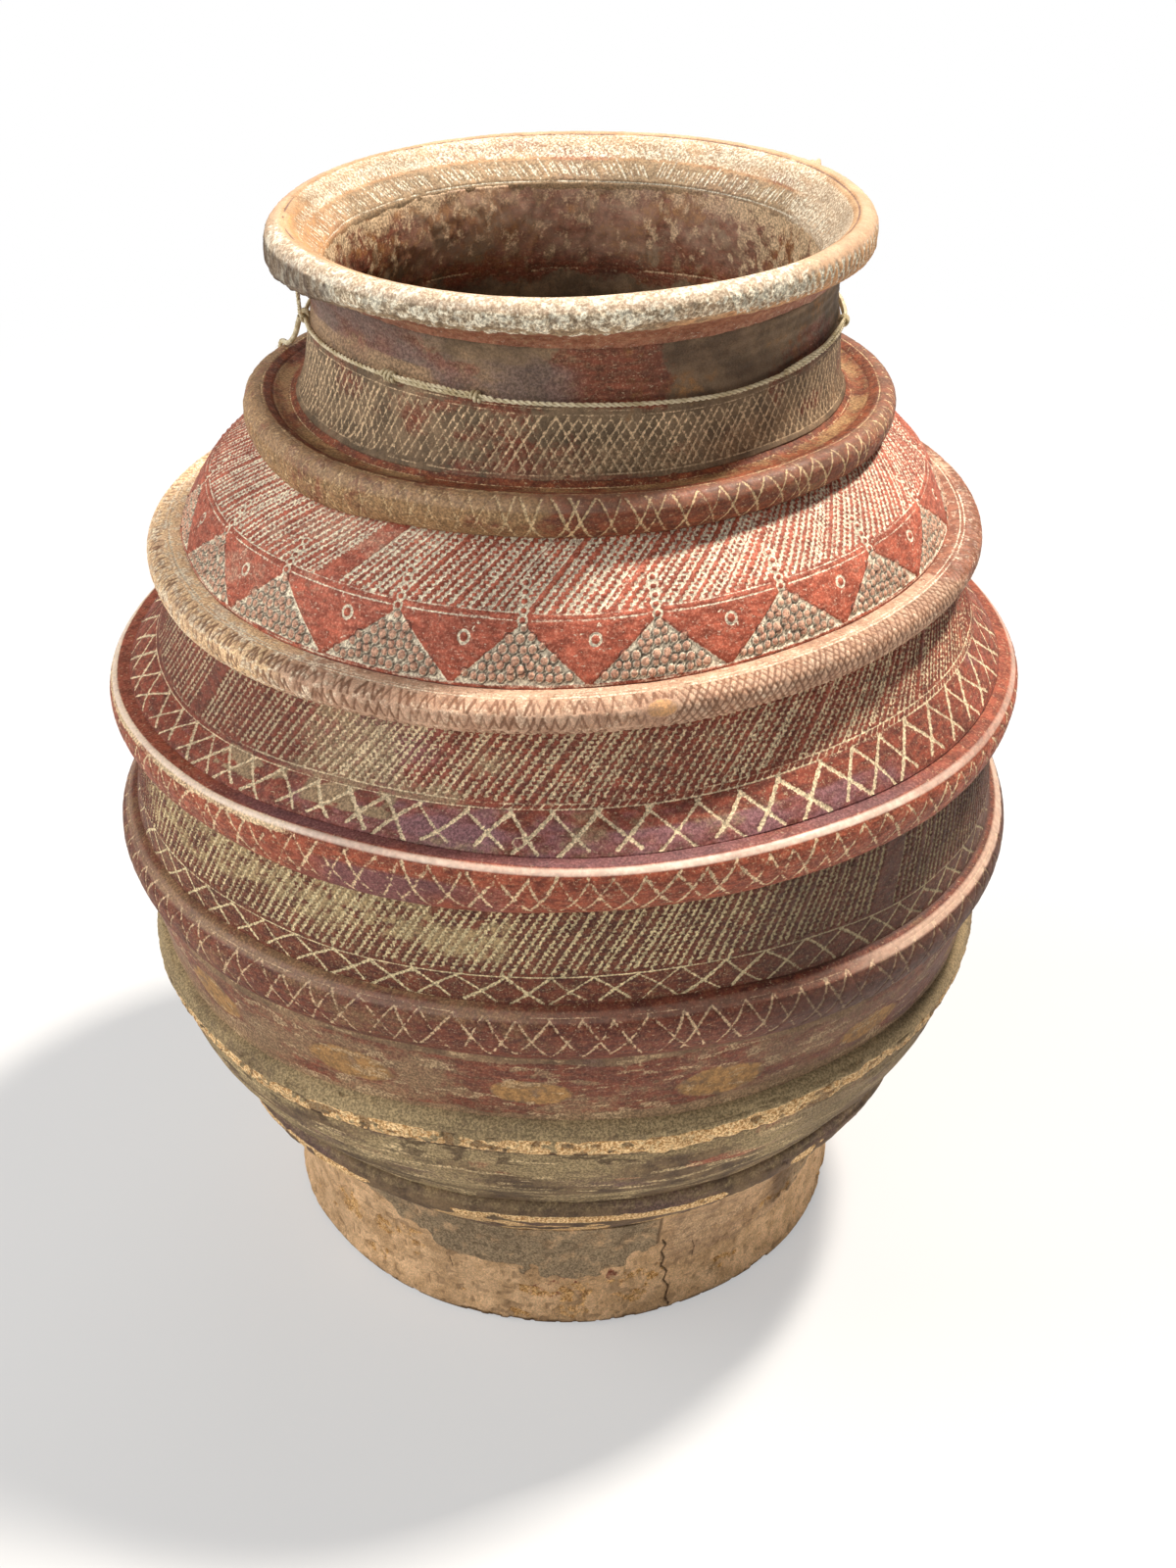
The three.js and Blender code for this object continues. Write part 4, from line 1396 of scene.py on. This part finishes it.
def make_shoulder():
    face = wall_face(256, 553.5, 630.5, 32)
    up = face.at
    face.lump(0.1, 0.35, 40)
    face.slip(1.0)
    face.bloom(0.25 * face.cloud(30, 2), 0.4)
    face.coat(0.3 * face.sector(-70, -35, 15) + 0.4 * face.cloud(26, 2) - 0.05, 0.5)
    apexes = spaced([-83.0, -63.3, -44.9, -24.3, -6.4, 12.1, 31.1, 49.9, 69.0], 19)
    lean = ([-180, -60, -20, 10, 30, 180], [0.7, 0.6, 0.62, 0.8, 0.85, 0.7])
    face.hatch(
        up(592.5), up(627.5), 250, lean, 2.5, 1.1, 1.0, skip=[(-36.2, -32.0), (140, 145)], ragged=1.0,
    )
    face.scuff(up(593), up(628))
    clear = 1 - sum(face.sector(a - 0.9, a + 0.9, 0.5) for a in apexes)[0]
    for height in (591.0, 587.8):
        face.line(up(height), 0.95, 0.5, 0.85, soot=0.15, wander=0.4, only=clear)
    base, top = up(559.8), up(586.5)
    for k, apex in enumerate(apexes):
        before = apexes[k - 1] - (360 if k == 0 else 0)
        after = apexes[(k + 1) % len(apexes)] + (360 if k == len(apexes) - 1 else 0)
        left, right = (apex - before) / 2 * 0.93, (after - apex) / 2 * 0.93
        away = (face.azimuth - apex + 180) % 360 - 180
        reach = np.where(away < 0, left, right)[None, :] * (1 - (face.s[:, None] - base) / (top - base))
        inside = ease(-0.2, 0.2, reach - np.abs(away)[None, :]) * ease(base - 1, base, face.s)[:, None]
        inside = inside * (1 - ease(top, top + 0.5, face.s))[:, None]
        face.fill(0.88 * inside)
        # The sunken ground round the grains is darkened with painted shade
        face.soot(0.22 * inside)
        face.relief -= inside.astype(np.float32)
        packed_grains(face, apex, left, right, base, top)
        for side, degrees in ((-1, left), (1, right)):
            for m in range(12):
                t0, t1 = m / 12, (m + 1) / 12
                face.stroke(
                    apex + side * degrees * (1 - t0), base + (top - base) * t0,
                    apex + side * degrees * (1 - t1), base + (top - base) * t1, 1.0, 0.5, 0.6,
                )
        for row in range(5):
            s = top + 1.5 + row * 5.9
            face.stamp(apex + face.off(0.08), s, 2.5, 1.3, 0.9, 0.6, 1.0)
        gap = (apex + after) / 2
        middle = up(579.5) + face.off(0.6)
        if k < 8:
            gap = [-73.4, -53.5, -32.0, -14.2, 3.6, 22.5, 41.5, 61.0][k]
        face.stamp(gap, middle, 3.2, 1.5, 0.8, 0.6, 1.0)
        pricked(face, gap, middle)
    face.line(up(558.4), 1.1, 0.6, 0.7, wander=0.3, gaps=0.1)
    # A dark line of painted shade in the crease over the shoulder ridge
    face.line(up(556.7), 1.3, 0.8, fill=0, soot=0.9, wander=0.3)
    grow("shoulder_wall", [face, lining(18, 23)], "shoulder")


def make_collar():
    face, knots = ridge_face(
        213, [[201.5, 625], [206, 626.8], [211, 631.5], [214.1, 638.5], [213.4, 645.5], [209, 650.2],
        [203, 650.9], [196.5, 649.2], [190.5, 647.3], [185, 647.2], [180.5, 649.2], [177, 653]], 33,
        FINE * 0.9,
    )
    face.lump(0.12, 0.3, 40)
    face.slip(1.0)
    ridge = face.zone(knots[1], knots[6] + 1, 2)
    left = face.sector(-130, -12, 16)
    crust = face.cloud(3.6, octaves=2)
    face.relief += 0.3 * crust * left * ridge
    face.fill(0.36 * ease(0.0, 0.5, crust) * left * ridge)
    face.soot(0.3 * ease(0.15, 0.55, -crust) * left * ridge)
    face.coat((0.78 + 0.4 * face.cloud(9, 2)) * left * ridge, 0.9)
    face.coat(0.1 + 0.4 * face.cloud(16, 2), 0.5, ridge)
    # Darker over the front and right of the ridge, painted shade
    face.soot(0.32 * face.sector(-10, 120, 14) * ridge)
    # Burnish on the top, lightened a little as painted highlight
    face.gloss(0.12 * face.zone(knots[4], knots[6], 2))
    count = 88
    for k in range(count):
        azimuth = 360 * (k + face.off(0.12)) / count
        wide = 360 / count
        side = (azimuth + 180) % 360 - 180
        strength = 0.5 if -130 < side < -20 else face.some(0.6, 0.9)
        top, low = knots[5] + face.some(0, 3), knots[1] + face.some(-0.5, 3)
        broad = face.some(1.2, 1.8)
        face.stroke(
            azimuth, top, azimuth + wide * face.some(0.8, 1.1), low, broad, 0.55, strength, bead=0.15,
            bow=face.off(0.7),
        )
        face.stroke(
            azimuth + wide * face.some(0.8, 1.1), top - 0.5, azimuth + face.some(-0.1, 0.3) * wide, low,
            broad * 0.9, 0.55, strength, bead=0.15, bow=face.off(0.7),
        )
    face.coat((0.52 + 0.34 * face.cloud(16, 2)) * face.zone(knots[7] + 2, knots[9], 2))
    face.line(knots[6] + 0.5, 1.0, 0.4, 0.7, wander=0.5, gaps=0.2)
    # A dark line of painted shade in the channel below the ridge
    face.line(knots[7] + 1.5, 0.9, 0.5, fill=0, soot=0.6, wander=0.4)
    face.line(knots[9] + 1, 1.0, 0.5, 0.6, wander=0.4, gaps=0.1)
    back = [in_wall(24, 1), in_wall(23, 1), [199, 629]]
    grow("collar_ridge", [face, back], "collar")


def inside_of_neck(columns):
    """The neck's inner face, from the mouth down: worn and dusty above, darker below as painted shade, with
    painted light near the mouth and on the right and a painted highlight at the back.
    """
    inside = between(636, 728, 1.7)[::-1]
    inner = Face(inside + outward(inside) * WALL_THICKNESS, columns, 35)
    high = ease(0, 1, (inner.z - 640) / 90)[:, None]
    inner.relief += 0.35 * inner.cloud(7, octaves=2) + 0.6 * inner.cloud(28)
    inner.slip(0.8 + 0.5 * inner.cloud(22, 1.4), 1, ease(0, 0.4, high))
    inner.ochre((0.25 + 0.3 * high) * ease(-0.4, 0.3, inner.cloud(20, 2)))
    inner.coat(0.16 + 0.6 * inner.cloud(10, 0.8), 0.8, ease(0.1, 0.5, high))
    # Pale flakes, more of them on the right as painted light
    pale = np.clip(0.2 + 0.55 * inner.cloud(6, 0.8) + 0.26 * inner.sector(50, 120, 20), 0, 0.75)
    inner.fill(pale * ease(0.25, 0.6, high))
    # A pale band at the mouth, partly painted light
    inner.fill(
        0.8 * ease(0.85, 1, high) * (0.75 + 0.4 * inner.cloud(9, 1))
        * (1 - 0.35 * inner.sector(150, 200, 20))
    )
    # Painted highlight at the back
    inner.gloss(
        0.42 * inner.sector(140, 215, 24) * ease(0.35, 0.6, high) * (0.7 + 0.5 * inner.cloud(12, 2))
    )
    # Darker downwards, painted shade
    inner.soot(0.6 - 1.1 * high + 0.2 * inner.cloud(16, 2), 0.7)
    inner.line(float(np.interp(-674, -inner.z, inner.s)), 1.6, 0.5, 0.6, wander=0.6, gaps=0.1)
    inner.cut += 0.5 * ease(0.35, 0.45, inner.cloud(12))
    return inner


def make_neck():
    face = wall_face(178, 649.5, 728, 34)
    up = face.at
    face.lump(0.14, 0.4, 34)
    upper = ease(up(688), up(693), face.s)[:, None]
    ripple = np.sin(face.s[:, None] * 0.9 + 2 * face.cloud(40, 3)) * upper
    face.relief += 0.25 * ripple
    drift = face.cloud(30, 2.4)
    face.slip(0.25 + 0.5 * drift + 0.5 * face.sector(-2, 14, 6) * upper)
    face.bloom((0.55 + 0.4 * face.cloud(22, 2)) * face.sector(-80, -6, 14) * upper, 0.75)
    face.coat((0.3 - 0.22 * face.sector(-110, -30, 20) + 0.35 * face.cloud(18, 2)) * (1 - upper), 0.75)
    face.coat((0.7 + 0.3 * face.cloud(14, 2)) * face.belt(692, 702, 4) * face.sector(-95, -34, 12), 0.85)
    face.coat(
        0.35 * face.cloud(16, 2) + 0.15 * face.sector(-34, -4, 8) + 0.3 * face.sector(-110, -50, 14), 0.6,
        upper,
    )
    face.ochre(0.2 + 0.3 * face.cloud(20, 2), 0.5, face.sector(14, 120, 16))
    # Painted shade on the right side, and under the rim at the top
    face.soot(0.46 * upper * face.sector(20, 120, 16) * (0.8 + 0.4 * face.cloud(26, 2)))
    face.soot(0.4 * (1 - upper) * face.sector(28, 120, 16))
    face.soot(0.5 * ease(up(722), up(728), face.s)[:, None])
    count = 172
    drift, tilt = face.ring_noise(31), face.ring_noise(27)
    for k in range(count):
        j = int(k / count * face.columns)
        azimuth = 360 * (k + 0.4 * drift[j] + face.off(0.07)) / count - 180
        low, high = up(654) + face.some(-1, 1), up(684.5) + face.some(-1, 0.5)
        run = math.degrees((high - low) * (0.62 + 0.05 * tilt[j]) / 176)
        middle = azimuth + run / 2
        if -7 < middle < -1 and face.rng.random() < 0.6:
            continue
        strength = 0.62 if -44 < middle < -14 else face.some(0.7, 0.92)
        face.stroke(
            azimuth, low, azimuth + run, high, face.some(1.2, 1.6), 0.5, strength, bead=0.25,
            bow=face.off(0.4),
        )
        face.stroke(
            azimuth + run, low, azimuth, high, face.some(1.1, 1.4), 0.45, strength * 0.9, bead=0.25,
            bow=face.off(0.4),
        )
    face.line(up(688.6), 0.9, 0.4, 0.6, wander=0.6, gaps=0.2)
    face.line(up(686.0), 0.9, 0.4, 0.65, wander=0.6, gaps=0.15)
    face.line(up(652.4), 1.0, 0.5, 0.7, wander=0.4, gaps=0.1)
    low = [in_wall(23, WALL_THICKNESS), in_wall(23, 4), in_wall(24, 1.5)]
    # The plain rows are darkened as painted shade
    grow(
        "neck_wall", [face, inside_of_neck(face.columns), low], "neck",
        plain={"soot": 0.5, "slip": 0.3},
    )


def mark_flare(face, knots):
    """The smooth lip, burnished and lightened as painted highlight; the broken painted ring; and the hatched
    flare inside it, paler at the back and the right as painted light.
    """
    face.gloss(0.3 * face.zone(knots[5] + 3, knots[7] + 2, 2))
    ring = knots[7] + 5.5 + 0.6 * face.ring_noise(19)
    trace = 1 - ease(0.5, 1.3, np.abs(face.s[:, None] - ring[None, :]))
    kept = ease(
        -0.15, 0.2,
        face.ring_noise(40) + 0.6 * face.ring_noise(120) + 0.9 * face.sector(50, 200, 30)[0] - 0.25,
    )
    face.bloom(0.8 * trace * kept[None, :])
    face.cut += 0.35 * trace * kept[None, :]
    flare = face.zone(knots[8] + 4, knots[11] + 2, 5)
    rear = face.sector(115, 250, 30)
    face.slip(flare * (0.3 + 0.35 * face.cloud(20, 3)) * (0.2 + 0.8 * rear), 0.55)
    # A pale band at the back of the flare, filling that is also painted highlight
    face.fill(0.46 * face.zone(knots[7] + 7, knots[9], 4) * rear * (1 + 0.15 * face.cloud(5, 2)))
    face.ochre(
        0.62 * flare * (1 - 0.5 * rear) * (1 - 0.8 * face.sector(35, 115, 20))
        * (0.95 + 0.15 * face.cloud(14, 2))
    )
    face.coat(flare * (0.2 + 0.4 * face.cloud(12, 2) - 0.3 * face.sector(40, 115, 20)), 0.5)
    # Painted light on the flare at the right
    face.fill(0.46 * flare * face.sector(45, 110, 20))
    count = 430
    for k in range(count):
        azimuth = 360 * (k + face.off(0.15)) / count
        side = (azimuth + 180) % 360 - 180
        if face.rng.random() > (0.95 if abs(side) > 95 else 0.7):
            continue
        low = knots[10] + face.some(-1.5, 3)
        long = face.some(6, 12)
        lean = 0.5 if side < -60 or side > 160 else -0.35
        face.stroke(
            azimuth, low, azimuth + math.degrees(lean * long / 165), low - long, face.some(0.9, 1.3), 0.4,
            face.some(0.55, 0.85), bead=0.15,
        )
    for k in range(150):
        azimuth = 150 + k * 0.9 + face.off(0.15)
        low = knots[9] + face.some(-3, 2)
        face.stroke(azimuth, low, azimuth + 1.3, low - face.some(4, 9), 1.0, 0.35, 0.75, bead=0.2)
    face.line(knots[11] - 1.5, 1.0, 0.6, 0.8, wander=0.4)


def make_rim():
    face, knots = ridge_face(
        197, [[170.2, 725], [173, 731.5], [180, 737.3], [190, 740.4], [196.4, 745.6], [198.2, 752],
        [195.4, 757.8], [189, 760.6], [181.6, 758.6], [170, 746.6], [161.2, 735.5], [158.2, 730.4],
        [158.6, 724]], 36,
    )
    edge = 1.4 * face.ring_noise(60) + 0.8 * face.ring_noise(150)
    crust = (
        face.zone(knots[3] - 1, 200, 1.8)
        * (1 - ease(-0.8, 0.8, face.s[:, None] - (knots[5] + 2 + edge)[None, :]))
    )
    crust = (
        crust * (1 - 0.85 * face.sector(48, 66, 6)) * (1 - 0.6 * face.sector(20, 110, 12))
        * (1 - 0.2 * face.sector(-150, -40, 12))
    )
    grit = face.cloud(3.2, octaves=2)
    lumps = face.cloud(8)
    face.lump(0.06, 0.35, 50, grain=6)
    face.relief += crust * (0.8 * grit + 0.6 * lumps + 0.5)
    face.coat(crust * (0.85 + 0.2 * lumps))
    face.fill(crust * (0.16 + 0.42 * ease(0.0, 0.6, grit)))
    face.soot(crust * 0.5 * ease(0.1, 0.5, -grit))
    face.bloom(0.4 * face.spot(57, (knots[4] + knots[5]) / 2, 22, 14, 0.3))
    # Painted shade on the crust at the left, where the rim's outer face is turned from the lamps
    face.soot(0.75 * crust * face.sector(-140, -52, 16))
    face.bare("fill", 0.6 * crust * face.sector(-140, -52, 16))
    # Grit all over the lip
    speck, blotch = face.cloud(2.6, octaves=2), face.cloud(7, 1.3)
    lip = face.zone(knots[4], knots[7], 4)
    face.relief += 0.22 * speck * lip
    front = face.sector(-75, 40, 20)
    face.coat(
        (0.35 + 0.25 * front + 0.3 * ease(0.1, 0.6, speck + 0.5 * blotch)) * lip * (0.5 + 0.5 * front)
    )
    face.fill(
        (0.06 + 0.34 * front + 0.36 * ease(0.1, 0.7, -speck + 0.4 * blotch)) * lip * (0.35 + 0.65 * front)
    )
    # Painted shade under the rim
    under = face.zone(0, knots[3] - 1.5, 1)
    face.soot(0.4 * under)
    face.slip(0.6 * under)
    outer = face.zone(knots[3], knots[5] + 1, 2)
    # Painted shade on the outer face at the left
    face.soot(0.7 * outer * face.sector(-140, -50, 12) * (0.85 + 0.4 * grit))
    face.soot(0.5 * ease(0.0, 0.6, -grit) * face.zone(knots[3], knots[5] + 2, 2) * front)
    face.coat(0.6 * face.zone(knots[9] + 4, knots[12], 3) * face.sector(120, 240, 24))
    face.coat(0.5 * outer * face.sector(20, 110, 12) * (0.8 + 0.4 * lumps))
    face.ochre(0.5 * outer * face.sector(20, 110, 12))
    # Crosses cut through the crust on the right
    for k in range(30):
        azimuth = 30 + k * 2.4 + face.off(0.4)
        for way in (-1, 1):
            face.stroke(azimuth, knots[3] + 1, azimuth + way * 2.6, knots[5] + 2.5, 1.7, 1.1, 0.95)
    mark_flare(face, knots)
    # Grain of clay stuck on the edge at the back right
    for azimuth, size, high in ((118.5, 5, 2.4), (120.2, 4, 2.0), (119.0, 3, 2.2)):
        face.relief += high * face.spot(azimuth, knots[6], size, size, 0.6).astype(np.float32)
    back = [[160, 722.5], [167, 722.5]]
    grow("rim", [face, back], "rim")


for make in (
    make_foot, make_bottom, make_foot_ridge, make_lower_wall, make_worn_ridge,
    make_painted_wall, make_low_ridge, make_lower_belly, make_belly_ridge, make_upper_belly,
    make_shoulder_ridge, make_shoulder, make_collar, make_neck, make_rim,
):
    make()

# Studio: a white floor, a sharp lamp high on the right, soft ones left and front, one behind for the floor
# Half the floor's side and where the lamps aim, in m, and how bright the white world is to the jar
FLOOR = 30
SQUARE = ((-1, -1), (1, -1), (1, 1), (-1, 1))
JAR_MIDDLE = (0, 0, 0.4)
AMBIENT = 0.17
floor_mesh = bpy.data.meshes.new("floor")
floor_mesh.from_pydata([(x * FLOOR, y * FLOOR, 0) for x, y in SQUARE], [], [(0, 1, 2, 3)])
floor = bpy.data.objects.new("floor", floor_mesh)
bpy.context.scene.collection.objects.link(floor)
n = Nodes("floor_white")
reach = n.add("ShaderNodeVectorMath", operation="LENGTH")
n.put(reach.inputs[0], n.place)
# White to the camera away from the jar, and partly so near it, which leaves the shadow
away = n.ramp(reach.outputs["Value"], 0.8, 2.2, 0.42, 1.0)
matt = n.add("ShaderNodeBsdfDiffuse")
matt.inputs["Color"].default_value = (0.62, 0.62, 0.62, 1)
glow = n.add("ShaderNodeEmission")
both = n.add("ShaderNodeMixShader")
n.put(both.inputs[0], n.times(away, n.add("ShaderNodeLightPath").outputs["Is Camera Ray"]))
n.put(both.inputs[1], matt.outputs[0])
n.put(both.inputs[2], glow.outputs[0])
n.put(n.add("ShaderNodeOutputMaterial").inputs["Surface"], both.outputs[0])
floor_mesh.materials.append(n.material)


def lamp(name, place, target, size, power, colour=(1, 1, 1)):
    data = bpy.data.lights.new(name, "AREA")
    data.shape = "RECTANGLE"
    data.size, data.size_y = size
    data.energy = power
    data.color = colour
    thing = bpy.data.objects.new(name, data)
    thing.location = place
    thing.rotation_euler = (Vector(target) - Vector(place)).to_track_quat("-Z", "Y").to_euler()
    bpy.context.scene.collection.objects.link(thing)


lamp("key", (2.8, 1.25, 6.7), JAR_MIDDLE, (0.7, 0.7), 810, (1.0, 0.93, 0.84))
lamp("fill", (-6.2, -0.6, 4.6), JAR_MIDDLE, (4.2, 3.6), 300, (1.0, 0.98, 0.95))
lamp("front", (-3.3, -5.2, 3.6), JAR_MIDDLE, (3.6, 2.6), 110, (1.0, 0.98, 0.95))
lamp("far", (0, 6.5, 7.0), (0, 5.5, 0), (5.0, 5.0), 150, (1.0, 1.0, 1.0))

# White to the camera, and dim light on the jar
world = bpy.data.worlds.new("studio")
bpy.context.scene.world = world
world.use_nodes = True
tree = world.node_tree
tree.nodes.clear()
light_path = tree.nodes.new("ShaderNodeLightPath")
strength = tree.nodes.new("ShaderNodeMapRange")
tree.links.new(light_path.outputs["Is Camera Ray"], strength.inputs[0])
strength.inputs[3].default_value = AMBIENT
strength.inputs[4].default_value = 1.0
background = tree.nodes.new("ShaderNodeBackground")
background.inputs["Color"].default_value = (1, 1, 1, 1)
tree.links.new(strength.outputs[0], background.inputs["Strength"])
output = tree.nodes.new("ShaderNodeOutputWorld")
tree.links.new(background.outputs[0], output.inputs["Surface"])

bpy.context.scene.view_settings.view_transform = "Standard"
